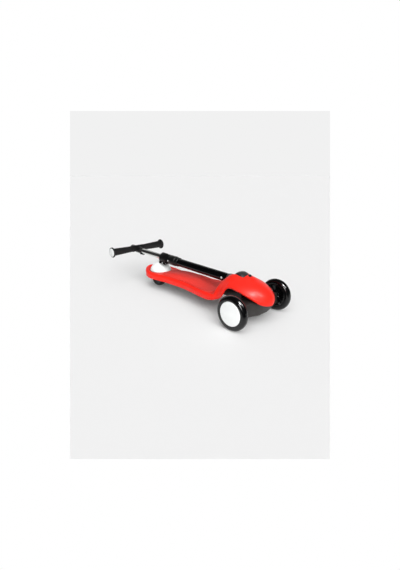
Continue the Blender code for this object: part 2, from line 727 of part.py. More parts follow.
def front_bracket():
    """Cast bracket: a plate under the standing floor, a block between the hinge cheeks and an
    arm over the truck whose inclined boss holds the kingpin."""
    plate_top = FLOOR_HEIGHT - SKIN - SEAT_GAP
    block_front = HINGE.x + 0.024
    block_back = FRONT_AXLE.x + BRACKET_BACK
    low = plate_top - BRACKET_PLATE
    plate_front = FRONT_AXLE.x + HOOD_TAIL + 0.020
    body = box("front_bracket", (plate_front - block_back, 2 * BRACKET_HALF_WIDTH, BRACKET_PLATE),
               ((plate_front + block_back) / 2, 0, (low + plate_top) / 2), black_plastic())
    block_start = FRONT_AXLE.x + HOOD_TAIL + 0.012
    block_top = HINGE_HEIGHT - COLUMN_DROP - KNUCKLE_NECK_RADIUS - 0.008
    block_low = low - 0.002
    block = box("bracket_block", (block_front - block_start, 2 * CHEEK_OUTER + 0.002, block_top - block_low),
                ((block_front + block_start) / 2, 0, (block_top + block_low) / 2), chamfer=0.003)
    join(body, block)
    for side in (-1, 1):
        middle = side * (CHEEK_INNER + CHEEK_OUTER) / 2
        plate_low = low + 0.004
        plate = box(f"cheek_{side}", (2 * CHEEK_RADIUS, CHEEK_OUTER - CHEEK_INNER, HINGE_HEIGHT - plate_low),
                    (HINGE.x, middle, (HINGE_HEIGHT + plate_low) / 2))
        join(body, plate)
        eye = cylinder(f"cheek_eye_{side}", CHEEK_RADIUS, CHEEK_OUTER - CHEEK_INNER,
                       (HINGE.x, middle, HINGE_HEIGHT), (0, 1, 0), sides=ROUND)
        join(body, eye)
    boss_start = kingpin_point(bracket_boss_start())
    boss_end = kingpin_point(bracket_boss_start() + BRACKET_BOSS_LENGTH)
    arm_low = BRACKET_ARM_LOW
    arm_back = block_front - 0.010
    arm_front = boss_end.x - 0.004
    arm = box("bracket_arm", (arm_front - arm_back, 2 * BRACKET_ARM_HALF_WIDTH, BRACKET_ARM_TOP - arm_low),
              ((arm_front + arm_back) / 2, 0, (BRACKET_ARM_TOP + arm_low) / 2), chamfer=0.002)
    short = SEAT_GAP / 3
    bushing_room = cylinder(guide("above_truck"), BUSHING_RADIUS + RUNNING_GAP, 0.08,
                            boss_start - (0.04 + short) * kingpin_axis(), kingpin_axis(), group=CUTTERS)
    cut(arm, bushing_room)
    head_room = cylinder(guide("kingpin_head_room"), KINGPIN_HEAD_RADIUS + RUNNING_GAP, 0.04,
                         boss_end + (0.02 + short) * kingpin_axis(), kingpin_axis(), group=CUTTERS)
    cut(arm, head_room)
    join(body, arm)
    boss = cylinder("bracket_boss", BRACKET_BOSS_RADIUS, (boss_end - boss_start).length,
                    (boss_start + boss_end) / 2, kingpin_axis())
    join(body, boss)
    button_x = FRONT_AXLE.x + BUTTON_X
    guide_boss = cylinder("button_boss", BUTTON_BOSS_RADIUS, BUTTON_BOSS_TOP - arm_low,
                          (button_x, 0, (BUTTON_BOSS_TOP + arm_low) / 2), (0, 0, 1), sides=SMALL)
    join(body, guide_boss)
    bore = cylinder(guide("kingpin_bore"), KINGPIN_RADIUS + SEAT_GAP, 0.1, boss_end, kingpin_axis(),
                    group=CUTTERS, sides=SMALL)
    cut(body, bore)
    stem = cylinder(guide("button_bore"), BUTTON_STEM_RADIUS + SEAT_GAP, 0.05,
                    (button_x, 0, BUTTON_BOSS_TOP - 0.025 + 0.008), (0, 0, 1),
                    group=CUTTERS, sides=SMALL)
    cut(body, stem)
    pin = cylinder(guide("hinge_pin_bore"), HINGE_PIN_RADIUS + SEAT_GAP, 0.1, HINGE, (0, 1, 0),
                   group=CUTTERS, sides=SMALL)
    cut(body, pin)
    return body


def screw_up(name, x, y, low, length=0.010, head=0.0042, shank=0.0021):
    """Pan-head screw driven upwards: its head sits below low and its shank goes up from it."""
    profile = [(0.0, length), (shank, length - 0.0006), (shank, 0.0), (head, 0.0),
               (head, -0.0014), (head * 0.7, -0.0026), (0.0, -0.0028)]
    return turned(name, profile, (x, y, low), (0, 0, 1), steel(), steps=TINY)


def fasten(body, screws, radius=0.0024, length=0.014):
    """Clearance holes in a body for the screws that stand at (x, y, low)."""
    for i, (x, y, low) in enumerate(screws):
        hole = cylinder(guide(f"{body.name}_hole_{i}"), radius, length, (x, y, low + length / 2 - 0.001),
                        (0, 0, 1), group=CUTTERS, sides=TINY)
        cut(body, hole)


def bracket_screws(body):
    """Two screws through the bracket's plate into the deck."""
    low = FLOOR_HEIGHT - SKIN - SEAT_GAP - BRACKET_PLATE
    back = FRONT_AXLE.x + BRACKET_BACK + 0.010
    places = [(back, side * (BRACKET_HALF_WIDTH - 0.007), low) for side in (-1, 1)]
    fasten(body, places)
    for i, (x, y, z) in enumerate(places):
        screw_up(f"bracket_screw_{i + 1}", x, y, z - SEAT_GAP, length=BRACKET_PLATE + SEAT_GAP)


def hinge_pin():
    reach = CHEEK_OUTER + SEAT_GAP
    profile = [(0.0, reach + 0.0028), (0.0062, reach + 0.0022), (0.0066, reach), (HINGE_PIN_RADIUS, reach),
               (HINGE_PIN_RADIUS, -reach - 0.0044), (0.0, -reach - 0.005)]
    turned("hinge_pin", profile, HINGE, (0, 1, 0), steel(), steps=SMALL)
    nut("hinge_pin_nut", HINGE - Vector((0, reach, 0)), (0, -1, 0), HINGE_PIN_RADIUS, 0.0068, 0.004)


def nut(name, seat, outward, bore, radius, thickness):
    """Hexagon nut that stands on its seat."""
    outward = Vector(outward).normalized()
    centre = Vector(seat) + outward * thickness / 2
    body = cylinder(name, radius, thickness, centre, outward, steel(), sides=6, chamfer=0.0006)
    hole = cylinder(guide(name), bore + SEAT_GAP, thickness * 3, centre, outward, group=CUTTERS, sides=SMALL)
    return cut(body, hole)


def kingpin():
    """Inclined bolt from the bracket's boss down through the truck, with its nut."""
    top = bracket_boss_start() + BRACKET_BOSS_LENGTH + SEAT_GAP
    low = -(BEAM_CORE / 2 + BUSHING_LENGTH + 2 * SEAT_GAP)
    profile = [(0.0, top + 0.0052), (KINGPIN_HEAD_RADIUS - 0.0016, top + 0.0046),
               (KINGPIN_HEAD_RADIUS, top), (KINGPIN_RADIUS, top),
               (KINGPIN_RADIUS, low - 0.0072), (0.0, low - 0.008)]
    turned("kingpin", profile, kingpin_point(0), kingpin_axis(), steel(), steps=SMALL)
    nut("kingpin_nut", kingpin_point(low - SEAT_GAP), -kingpin_axis(), KINGPIN_RADIUS, 0.0086, 0.0062)
    bore = KINGPIN_RADIUS + SEAT_GAP
    waist = BUSHING_RADIUS - 0.0022
    for name, sign in (("steer_bushing_upper", 1), ("steer_bushing_lower", -1)):
        start = BEAM_CORE / 2 + SEAT_GAP
        end = start + BUSHING_LENGTH
        profile = [(BUSHING_RADIUS, end), (waist, (start + end) / 2), (BUSHING_RADIUS, start),
                   (bore, start), (bore, end)]
        turned(name, profile, kingpin_point(0), kingpin_axis() * sign, rubber(), steps=ROUND, closed=True)


def rear_carrier():
    """Black yoke that closes the tail from below: an oval plate with the wheel's slot, two fork
    arms down to the axle and two lugs for the brake's pin."""
    seat = FLOOR_HEIGHT - SKIN - SEAT_GAP
    plate_top = seat - RIM_RISE
    low = plate_top - CARRIER_PLATE
    inside = SKIN + CARRIER_INSET
    outline = ellipse(FRONT_AXLE.x + TAIL_MID, TAIL_LENGTH - inside, TAIL_HALF_WIDTH - inside)
    body = outline_plate("rear_carrier", outline, low, plate_top, black_plastic())
    tongue_front = FRONT_AXLE.x + WAIST_REAR + TONGUE_REACH
    tongue_back = FRONT_AXLE.x + DOME_MID + DOME_HALF_LENGTH + 2 * RUNNING_GAP + 0.002
    tongue = box("carrier_tongue", (tongue_front - tongue_back, TONGUE_WIDTH, seat - low),
                 ((tongue_front + tongue_back) / 2, 0, (low + seat) / 2))
    join(body, tongue)
    arm_inner = REAR_WHEEL_WIDTH / 2 + FORK_GAP
    arm_outer = arm_inner + FORK_ARM
    for side in (-1, 1):
        middle = side * (arm_inner + arm_outer) / 2
        thick = arm_outer - arm_inner
        top = REAR_AXLE + Vector((FORK_LEAN, 0, low - REAR_AXLE.z + FORK_OVERLAP))
        rings = []
        for share in (0.0, 1.0):
            centre = REAR_AXLE.lerp(top, share)
            wide = FORK_EYE_RADIUS - FORK_EYE_LEAD + FORK_FLARE * share
            rings.append([(centre.x - wide, middle - thick / 2, centre.z),
                          (centre.x + wide, middle - thick / 2, centre.z),
                          (centre.x + wide, middle + thick / 2, centre.z),
                          (centre.x - wide, middle + thick / 2, centre.z)])
        arm = lofted(f"fork_arm_{side}", rings)
        join(body, arm)
        eye = cylinder(f"fork_eye_{side}", FORK_EYE_RADIUS, thick, (REAR_AXLE.x, middle, REAR_AXLE.z),
                       (0, 1, 0), sides=ROUND)
        join(body, eye)
        lug_top = BRAKE_PIN_HEIGHT + BRAKE_LUG_RISE
        lug = box(f"brake_lug_{side}", (0.010, BRAKE_LUG_WIDTH, lug_top - low),
                  (REAR_AXLE.x + BRAKE_PIN_AHEAD, side * BRAKE_LUG_Y, (lug_top + low) / 2), chamfer=0.001)
        join(body, lug)
    slot_back = REAR_AXLE.x - REAR_WHEEL_RADIUS - WHEEL_SLOT_GAP
    slot_front = REAR_AXLE.x + REAR_WHEEL_RADIUS + WHEEL_SLOT_GAP
    wheel_slot = box(guide("wheel_slot"), (slot_front - slot_back, 2 * (arm_inner - 0.0004), 0.05),
                     ((slot_front + slot_back) / 2, 0, plate_top), group=CUTTERS)
    cut(body, wheel_slot)
    pin = brake_pin_place()
    arm_room = box(guide("brake_arm_room"), (0.0130, 2 * BRAKE_ARM_Y + BRAKE_ARM_WIDTH + 2 * SEAT_GAP, 0.03),
                   (pin.x, 0, plate_top), group=CUTTERS)
    cut(body, arm_room)
    axle = cylinder(guide("rear_axle_bore"), BEARING_BORE + SEAT_GAP, 0.1, REAR_AXLE, (0, 1, 0),
                    group=CUTTERS, sides=SMALL)
    cut(body, axle)
    pin = cylinder(guide("brake_pin_bore"), BRAKE_PIN_RADIUS + SEAT_GAP, 0.08, brake_pin_place(), (0, 1, 0),
                   group=CUTTERS, sides=SMALL)
    cut(body, pin)
    return body


def brake_pin_place():
    return Vector((REAR_AXLE.x + BRAKE_PIN_AHEAD, 0, BRAKE_PIN_HEIGHT))


def carrier_screws(body):
    low = FLOOR_HEIGHT - SKIN - SEAT_GAP - RIM_RISE - CARRIER_PLATE
    places = [(FRONT_AXLE.x + WAIST_REAR + 0.004, side * 0.016, low) for side in (-1, 1)]
    fasten(body, places)
    for i, (x, y, z) in enumerate(places):
        screw_up(f"carrier_screw_{i + 1}", x, y, z - SEAT_GAP, length=CARRIER_PLATE + RIM_RISE)


def rear_axle():
    outer = REAR_WHEEL_WIDTH / 2 + FORK_GAP + FORK_ARM + SEAT_GAP
    profile = [(0.0, outer + 0.0044), (0.0060, outer + 0.0038), (0.0066, outer), (BEARING_BORE, outer),
               (BEARING_BORE, -outer - 0.0054), (0.0, -outer - 0.006)]
    turned("rear_axle", profile, REAR_AXLE, (0, 1, 0), steel(), steps=SMALL)
    nut("rear_axle_nut", REAR_AXLE - Vector((0, outer, 0)), (0, -1, 0), BEARING_BORE, 0.0072, 0.0048)


# Front wheels, rear wheel

def tyre_profile(radius, width, depth, drop, count=7):
    """Ring section of a tyre: a rounded tread over a flat seat."""
    half = width / 2
    points = []
    for i in range(count):
        turn = math.pi / 2 - math.pi * i / (count - 1)
        along = half * math.copysign(abs(math.sin(turn)) ** 0.85, math.sin(turn))
        lift = abs(math.cos(turn)) ** 0.75
        points.append((radius - drop * (1 - lift), along))
    seat = radius - depth
    return points + [(seat, -half), (seat, half)]


def front_wheel(side, label):
    """Tyre, spoked core, two bearings, spacer and white cap, all turned about the axle. Places
    along the axle run outwards from the wheel's middle."""
    out = Vector((0, side, 0))
    centre = FRONT_AXLE + out * (TRACK / 2)
    tread = tyre_profile(FRONT_WHEEL_RADIUS, FRONT_WHEEL_WIDTH, FRONT_TYRE_DEPTH, SHOULDER_DROP)
    turned(f"tyre_{label}", tread, centre, out, black_urethane(), closed=True, steps=FINE)
    rim = FRONT_WHEEL_RADIUS - FRONT_TYRE_DEPTH - SEAT_GAP
    rim_inner = rim - 0.0040
    half = FRONT_WHEEL_WIDTH / 2
    seat = BEARING_RADIUS + SEAT_GAP
    bore = seat - 0.0022
    outer_seat = hub_outer_face() - BEARING_WIDTH - SEAT_GAP
    inner_seat = -half + BEARING_WIDTH + SEAT_GAP
    web_face = -half + POCKET_DEPTH
    profile = [(rim, half - CAP_SEAT), (rim, -half + 0.0015), (rim_inner, -half + 0.0005),
               (rim_inner, web_face), (HUB_RADIUS, web_face), (HUB_RADIUS, -half),
               (seat, -half), (seat, inner_seat), (bore, inner_seat), (bore, outer_seat),
               (seat, outer_seat), (seat, hub_outer_face()), (HUB_RADIUS, hub_outer_face()),
               (HUB_RADIUS, web_face + WEB), (rim_inner, web_face + WEB), (rim_inner, half - CAP_SEAT)]
    core = turned(f"core_{label}", profile, centre, out, black_plastic(), closed=True, steps=FINE)
    turn = turn_to(out)
    spokes = bmesh.new()
    for i in range(SPOKE_COUNT):
        spin = Matrix.Rotation(2 * math.pi * i / SPOKE_COUNT, 4, "Z")
        length = rim_inner - HUB_RADIUS + 0.002
        deep = POCKET_DEPTH - SPOKE_INSET + 0.001
        place = spin @ Matrix.Translation(((rim_inner + HUB_RADIUS) / 2, 0, -half + SPOKE_INSET + deep / 2))
        size = Matrix.Diagonal((length, SPOKE_WIDTH, deep, 1.0))
        bmesh.ops.create_cube(spokes, size=1.0, matrix=place @ size)
    spoke_set = add(guide(f"spokes_{label}"), mesh_of("spokes", spokes), None, CUTTERS)
    spoke_set.matrix_world = Matrix.Translation(centre) @ turn
    cut(core, spoke_set, "UNION")
    bearing(f"bearing_inner_{label}", centre - out * (half - BEARING_WIDTH / 2), out)
    bearing(f"bearing_outer_{label}", centre + out * (hub_outer_face() - BEARING_WIDTH / 2), out)
    cap = FRONT_WHEEL_RADIUS - FRONT_TYRE_DEPTH - SEAT_GAP
    lip = half - CAP_SEAT + SEAT_GAP
    face = half + 0.0006
    profile = [(0.0, face + CAP_CROWN), (cap * 0.55, face + CAP_CROWN * 0.78),
               (cap - 0.0012, face + 0.0002), (cap - SEAT_GAP, face - 0.0012), (cap - SEAT_GAP, lip),
               (cap - 0.0030, lip), (cap - 0.0034, face - CAP_THICKNESS),
               (0.0, face + CAP_CROWN - CAP_THICKNESS)]
    turned(f"hub_cap_{label}", profile, centre, out, white_plastic(), steps=FINE)
    bolt_head = hub_outer_face() + SEAT_GAP
    profile = [(0.0, bolt_head + 0.0036), (0.0056, bolt_head + 0.0030), (0.0062, bolt_head),
               (BEARING_BORE, bolt_head), (BEARING_BORE, BEAM_HALF_LENGTH - TRACK / 2 - 0.022),
               (0.0, BEAM_HALF_LENGTH - TRACK / 2 - 0.0225)]
    return turned(f"axle_bolt_{label}", profile, centre, out, steel(), steps=SMALL)


def hub_outer_face():
    """Outer end of the hub, far enough in for the bolt head to hide under the cap."""
    return FRONT_WHEEL_WIDTH / 2 - 0.0070


def bearing(name, centre, axis):
    """Ball bearing as one plain ring."""
    outer = BEARING_RADIUS - SEAT_GAP / 3
    inner = BEARING_BORE + SEAT_GAP
    return sleeve(name, centre, axis, inner, outer, BEARING_WIDTH, steps=SMALL)


def sleeve(name, centre, axis, bore, radius, length, look=None, steps=ROUND):
    profile = [(radius, length / 2), (radius, -length / 2), (bore, -length / 2), (bore, length / 2)]
    return turned(name, profile, centre, axis, look or steel(), closed=True, steps=steps)


def rear_wheel():
    out = Vector((0, 1, 0))
    half = REAR_WHEEL_WIDTH / 2
    tread = tyre_profile(REAR_WHEEL_RADIUS, REAR_WHEEL_WIDTH, REAR_TYRE_DEPTH, SHOULDER_DROP * 0.8)
    turned("rear_tyre", tread, REAR_AXLE, out, black_urethane(), closed=True, steps=FINE)
    rim = REAR_WHEEL_RADIUS - REAR_TYRE_DEPTH - SEAT_GAP
    seat = BEARING_RADIUS + SEAT_GAP
    inner = half - BEARING_WIDTH - SEAT_GAP
    dish = 0.0035
    profile = [(rim, half - 0.001), (rim, -half + 0.001), (rim - 0.003, -half + 0.001),
               (rim - 0.0035, -half + dish), (HUB_RADIUS, -half + dish), (HUB_RADIUS, -half),
               (seat, -half), (seat, -inner),
               (seat - 0.002, -inner), (seat - 0.002, inner), (seat, inner), (seat, half), (HUB_RADIUS, half),
               (HUB_RADIUS, half - dish), (rim - 0.0035, half - dish), (rim - 0.003, half - 0.001)]
    turned("rear_core", profile, REAR_AXLE, out, black_plastic(), closed=True, steps=FINE)
    for label, side in (("left", 1), ("right", -1)):
        bearing(f"rear_bearing_{label}", REAR_AXLE + out * side * (half - BEARING_WIDTH / 2), out)
    sleeve("rear_spacer", REAR_AXLE, out, BEARING_BORE + SEAT_GAP, 0.0060,
           2 * (half - BEARING_WIDTH - SEAT_GAP))


# Brake

def dome_share(height):
    """Share of the base outline that is left at a share of the dome's height."""
    return (1 - height ** DOME_BULGE) ** (1 / DOME_ROUND)


def brake_fender():
    """White dome: an open skin of ever smaller ovals, with two arms down to its pin."""
    heights = np.sin(np.linspace(0, math.pi / 2, 7))
    middle = FRONT_AXLE.x + DOME_MID
    rings = [[(x, y, DOME_BASE - DOME_SKIRT) for x, y in ellipse(middle, DOME_HALF_LENGTH, DOME_HALF_WIDTH)]]
    for height in heights[:-1]:
        share = dome_share(height)
        z = DOME_BASE + (DOME_TOP - DOME_BASE) * height
        oval = ellipse(middle, DOME_HALF_LENGTH * share, DOME_HALF_WIDTH * share)
        rings.append([(x, y, z) for x, y in oval])
    rings.append([(middle, 0, DOME_TOP)] * FINE)
    dome = lofted("brake_fender", rings, white_plastic(), caps=False)
    wall = dome.modifiers.new("Wall", "SOLIDIFY")
    wall.thickness = DOME_WALL
    wall.offset = -1.0
    pin = brake_pin_place()
    bridge_top = DOME_BASE + 0.004
    arm_low = pin.z - BRAKE_PIN_RADIUS - 0.0018
    arm_top = bridge_top - 0.0005
    for side in (-1, 1):
        arm = box(f"brake_arm_{side}", (0.0070, BRAKE_ARM_WIDTH, arm_top - arm_low),
                  (pin.x, side * BRAKE_ARM_Y, (arm_low + arm_top) / 2), chamfer=0.0008)
        join(dome, arm)
    share = dome_share((bridge_top - DOME_BASE) / (DOME_TOP - DOME_BASE))
    reach = DOME_HALF_LENGTH * share - DOME_WALL / 2
    side_reach = DOME_HALF_WIDTH * share - DOME_WALL / 2
    half = BRAKE_ARM_Y + BRAKE_ARM_WIDTH / 2 - 0.0002
    turns = np.linspace(-1, 1, 7) * math.asin(half / side_reach)
    outline = [(middle + reach * math.cos(a), side_reach * math.sin(a)) for a in turns]
    outline += [(pin.x - 0.0045, half), (pin.x - 0.0045, -half)]
    join(dome, outline_plate("brake_bridge", outline, bridge_top - 0.0030, bridge_top))
    low = shoe_top() + SEAT_GAP
    high = DOME_TOP - DOME_WALL * 1.9
    post = box("shoe_post", (2 * POST_HALF_LENGTH, 2 * POST_HALF_WIDTH, high - low),
               (FRONT_AXLE.x + POST_AT, 0, (high + low) / 2))
    join(dome, post)
    bore = cylinder(guide("brake_arm_bore"), BRAKE_PIN_RADIUS + SEAT_GAP, 0.08, pin, (0, 1, 0),
                    group=CUTTERS, sides=SMALL)
    cut(dome, bore)
    return dome


def brake_pin():
    reach = BRAKE_LUG_Y + BRAKE_LUG_WIDTH / 2 + SEAT_GAP
    profile = [(0.0, reach + 0.0016), (0.0036, reach + 0.0014), (0.0036, reach),
               (BRAKE_PIN_RADIUS, reach), (BRAKE_PIN_RADIUS, -reach), (0.0036, -reach),
               (0.0036, -reach - 0.0014), (0.0, -reach - 0.0016)]
    turned("brake_pin", profile, brake_pin_place(), (0, 1, 0), steel(), steps=TINY)


def brake_shoe():
    """Block that rubs on the rear tyre: its lower face follows the tread at BRAKE_GAP."""
    low = REAR_AXLE.z + REAR_WHEEL_RADIUS
    top = shoe_top()
    block = box("brake_shoe", (2 * SHOE_HALF_LENGTH, 2 * SHOE_HALF_WIDTH, top - low),
                (REAR_AXLE.x, 0, (low + top) / 2), rubber(), chamfer=0.0015)
    tread = cylinder(guide("tread_room"), REAR_WHEEL_RADIUS + BRAKE_GAP, 0.08, REAR_AXLE, (0, 1, 0),
                     group=CUTTERS, sides=72)
    return cut(block, tread)


def shoe_top():
    return REAR_AXLE.z + REAR_WHEEL_RADIUS + BRAKE_GAP + SHOE_THICKNESS


# Release button

def release_button():
    """Round push button through the hood, with a stem that slides in the bracket's boss."""
    x = FRONT_AXLE.x + BUTTON_X
    profile = [(0.0, BUTTON_TOP), (BUTTON_RADIUS * 0.55, BUTTON_TOP - 0.0005),
               (BUTTON_RADIUS * 0.9, BUTTON_TOP - 0.0022), (BUTTON_RADIUS, BUTTON_TOP - 0.0045),
               (BUTTON_RADIUS, BUTTON_SKIRT), (BUTTON_STEM_RADIUS, BUTTON_SKIRT),
               (BUTTON_STEM_RADIUS, BUTTON_STEM_END), (0.0, BUTTON_STEM_END)]
    turned("release_button", profile, (x, 0, 0), (0, 0, 1), black_plastic(), steps=ROUND)
    low = BUTTON_BOSS_TOP + SEAT_GAP
    high = BUTTON_SKIRT - SEAT_GAP
    sleeve("release_spring", (x, 0, (low + high) / 2), (0, 0, 1), BUTTON_STEM_RADIUS + SEAT_GAP,
           BUTTON_STEM_RADIUS + SEAT_GAP + SPRING_WIRE, high - low, steps=TINY)


# Steering truck

def rounded(x_low, x_high, z_low, z_high, radius, steps=3):
    """A rectangle with round corners as (x, z) points."""
    points = []
    for cx, cz, start in ((x_high - radius, z_high - radius, 0.0), (x_low + radius, z_high - radius, 0.5),
                          (x_low + radius, z_low + radius, 1.0), (x_high - radius, z_low + radius, 1.5)):
        for i in range(steps):
            angle = math.pi * (start + 0.5 * i / (steps - 1))
            points.append((cx + radius * math.cos(angle), cz + radius * math.sin(angle)))
    return points


def truck_beam():
    """Moulded beam that leans to steer: deep in the middle, where the kingpin passes, and slimmer
    towards the axle shrouds."""
    rings = []
    for share in (-1.0, -0.72, -0.42, -0.22, 0.22, 0.42, 0.72, 1.0):
        y = share * BEAM_HALF_LENGTH
        slim = float(between(abs(share), 0.15, 1.0, 0.0, 1.0))
        x_high = BEAM_FRONT + (BEAM_END_FRONT - BEAM_FRONT) * slim
        x_low = BEAM_BACK + (BEAM_END_BACK - BEAM_BACK) * slim
        z_low = BEAM_BOTTOM + (BEAM_END_BOTTOM - BEAM_BOTTOM) * slim
        z_high = BEAM_TOP + (BEAM_END_TOP - BEAM_TOP) * slim
        rings.append([(FRONT_AXLE.x + x, y, z) for x, z in rounded(x_low, x_high, z_low, z_high, 0.008)])
    beam = lofted("truck_beam", rings, black_plastic())
    tip = TRACK / 2 - FRONT_WHEEL_WIDTH / 2 - SEAT_GAP
    for side in (-1, 1):
        start = BEAM_HALF_LENGTH - 0.004
        step = tip - 0.0022
        shroud = cylinder(f"shroud_{side}", AXLE_SHROUD_RADIUS, step - start,
                          (FRONT_AXLE.x, side * (start + step) / 2, FRONT_AXLE.z), (0, 1, 0), sides=ROUND)
        join(beam, shroud)
        nose = cylinder(f"shroud_tip_{side}", BEARING_BORE + 0.0022, tip - start,
                        (FRONT_AXLE.x, side * (start + tip) / 2, FRONT_AXLE.z), (0, 1, 0), sides=SMALL)
        join(beam, nose)
    axis = kingpin_axis()
    seat = BEAM_CORE / 2
    for name, start, end, radius in (
            ("upper_seat", seat, 0.08, BUSHING_RADIUS + 0.001),
            ("boss_room", bracket_boss_start() - 0.0008, 0.08, BRACKET_BOSS_RADIUS + RUNNING_GAP),
            ("lower_seat", -0.08, -seat, BUSHING_RADIUS + 0.001),
            ("kingpin_room", -0.08, 0.08, KINGPIN_RADIUS + SEAT_GAP)):
        room = cylinder(guide(name), radius, end - start, kingpin_point((start + end) / 2), axis,
                        group=CUTTERS, sides=ROUND)
        cut(beam, room)
    bolts = cylinder(guide("axle_bolt_room"), BEARING_BORE + SEAT_GAP, 0.3, FRONT_AXLE, (0, 1, 0),
                     group=CUTTERS, sides=SMALL)
    keep = 2 * (BEAM_HALF_LENGTH - BOLT_DEPTH - 0.001)
    middle = box(guide("bolt_web"), (0.03, keep, 0.03), FRONT_AXLE, group=CUTTERS)
    cut(bolts, middle)
    cut(beam, bolts)
    return beam


# Folded column: places are measured along it from the hinge, and off its axis

def column_frame():
    return Matrix.Translation(HINGE) @ Matrix.Rotation(FOLD_SLOPE, 4, "Y")


def at(along, y=0.0, z=0.0):
    return column_frame() @ Vector((-along, y, z - COLUMN_DROP))


def column_axis():
    return column_frame().to_3x3() @ Vector((-1, 0, 0))


def column_block(name, start, end, y_low, y_high, z_low, z_high, look=None, group=PARTS, chamfer=0.0):
    """A box whose sides follow the column."""
    obj = box(name, (end - start, y_high - y_low, z_high - z_low), (0, 0, 0), look, group, chamfer)
    place = at((start + end) / 2, (y_low + y_high) / 2, (z_low + z_high) / 2)
    obj.matrix_world = Matrix.Translation(place) @ column_frame().to_3x3().to_4x4()
    return obj


def knuckle():
    """Folding knuckle: a rounded head over the hinge, a neck that tapers to the tube and a
    spigot inside the tube."""
    rings = []
    for along, radius, lift in ((KNUCKLE_SHOULDER - SEAT_GAP, KNUCKLE_NECK_RADIUS - 0.0006, 0.0),
                                (KNUCKLE_SHOULDER - 0.002, KNUCKLE_NECK_RADIUS, 0.0),
                                (0.036, KNUCKLE_NECK_RADIUS, 0.0022), (0.018, KNUCKLE_NECK_RADIUS, 0.0060),
                                (0.0, KNUCKLE_NECK_RADIUS - 0.001, COLUMN_DROP - 0.003)):
        turn = np.linspace(0, 2 * math.pi, ROUND, endpoint=False)
        rings.append([tuple(at(along, radius * math.cos(a), lift + radius * math.sin(a))) for a in turn])
    body = lofted("knuckle", rings, black_plastic())
    head = []
    for i in range(7):
        angle = math.pi * (i / 6 - 0.5)
        head.append((KNUCKLE_HEAD_RADIUS - KNUCKLE_ROUND * (1 - math.cos(angle) ** 0.6),
                     -KNUCKLE_HALF_WIDTH * math.sin(angle)))
    head = [(0.0, KNUCKLE_HALF_WIDTH)] + head + [(0.0, -KNUCKLE_HALF_WIDTH)]
    join(body, turned("knuckle_head", head, HINGE, (0, 1, 0), steps=FINE))
    spigot_start = KNUCKLE_SHOULDER - 0.006
    spigot_end = KNUCKLE_SHOULDER + SPIGOT_LENGTH
    spigot = cylinder("spigot", LOWER_TUBE_RADIUS - LOWER_TUBE_WALL - SEAT_GAP, spigot_end - spigot_start,
                      at((spigot_start + spigot_end) / 2), column_axis())
    join(body, spigot)
    pin = cylinder(guide("hinge_bore"), HINGE_PIN_RADIUS + SEAT_GAP, 0.1, HINGE, (0, 1, 0),
                   group=CUTTERS, sides=SMALL)
    cut(body, pin)
    return cut_bolt(body, "knuckle")


def cut_bolt(body, label):
    """The hole for the knuckle's cross bolt."""
    hole = cylinder(guide(f"{label}_bolt_hole"), KNUCKLE_BOLT_RADIUS + SEAT_GAP, 0.1, at(KNUCKLE_BOLT_AT),
                    (0, 1, 0), group=CUTTERS, sides=SMALL)
    return cut(body, hole)


def tube(name, radius, wall, start, end, look, steps=ROUND):
    """A round tube along the column."""
    profile = [(radius - 0.0003, end), (radius, end - 0.0003), (radius, start), (radius - wall, start),
               (radius - wall, end)]
    return turned(name, profile, at(0), column_axis(), look, closed=True, steps=steps)


def lower_tube():
    made = tube("lower_tube", LOWER_TUBE_RADIUS, LOWER_TUBE_WALL, KNUCKLE_SHOULDER, LOWER_TUBE_END,
                black_paint())
    return cut_bolt(made, "tube")


def upper_tube():
    return tube("upper_tube", UPPER_TUBE_RADIUS, UPPER_TUBE_WALL, UPPER_TUBE_START, upper_tube_end(),
                chrome())


def knuckle_bolt():
    reach = LOWER_TUBE_RADIUS + SEAT_GAP
    head = [(0.0, reach + 0.0024), (KNUCKLE_BOLT_HEAD * 0.7, reach + 0.0020),
            (KNUCKLE_BOLT_HEAD, reach + 0.0008), (KNUCKLE_BOLT_HEAD, reach), (KNUCKLE_BOLT_RADIUS, reach)]
    profile = head + [(radius, -along) for radius, along in head[::-1]]
    return turned("knuckle_bolt", profile, at(KNUCKLE_BOLT_AT), (0, 1, 0), steel(), steps=SMALL)


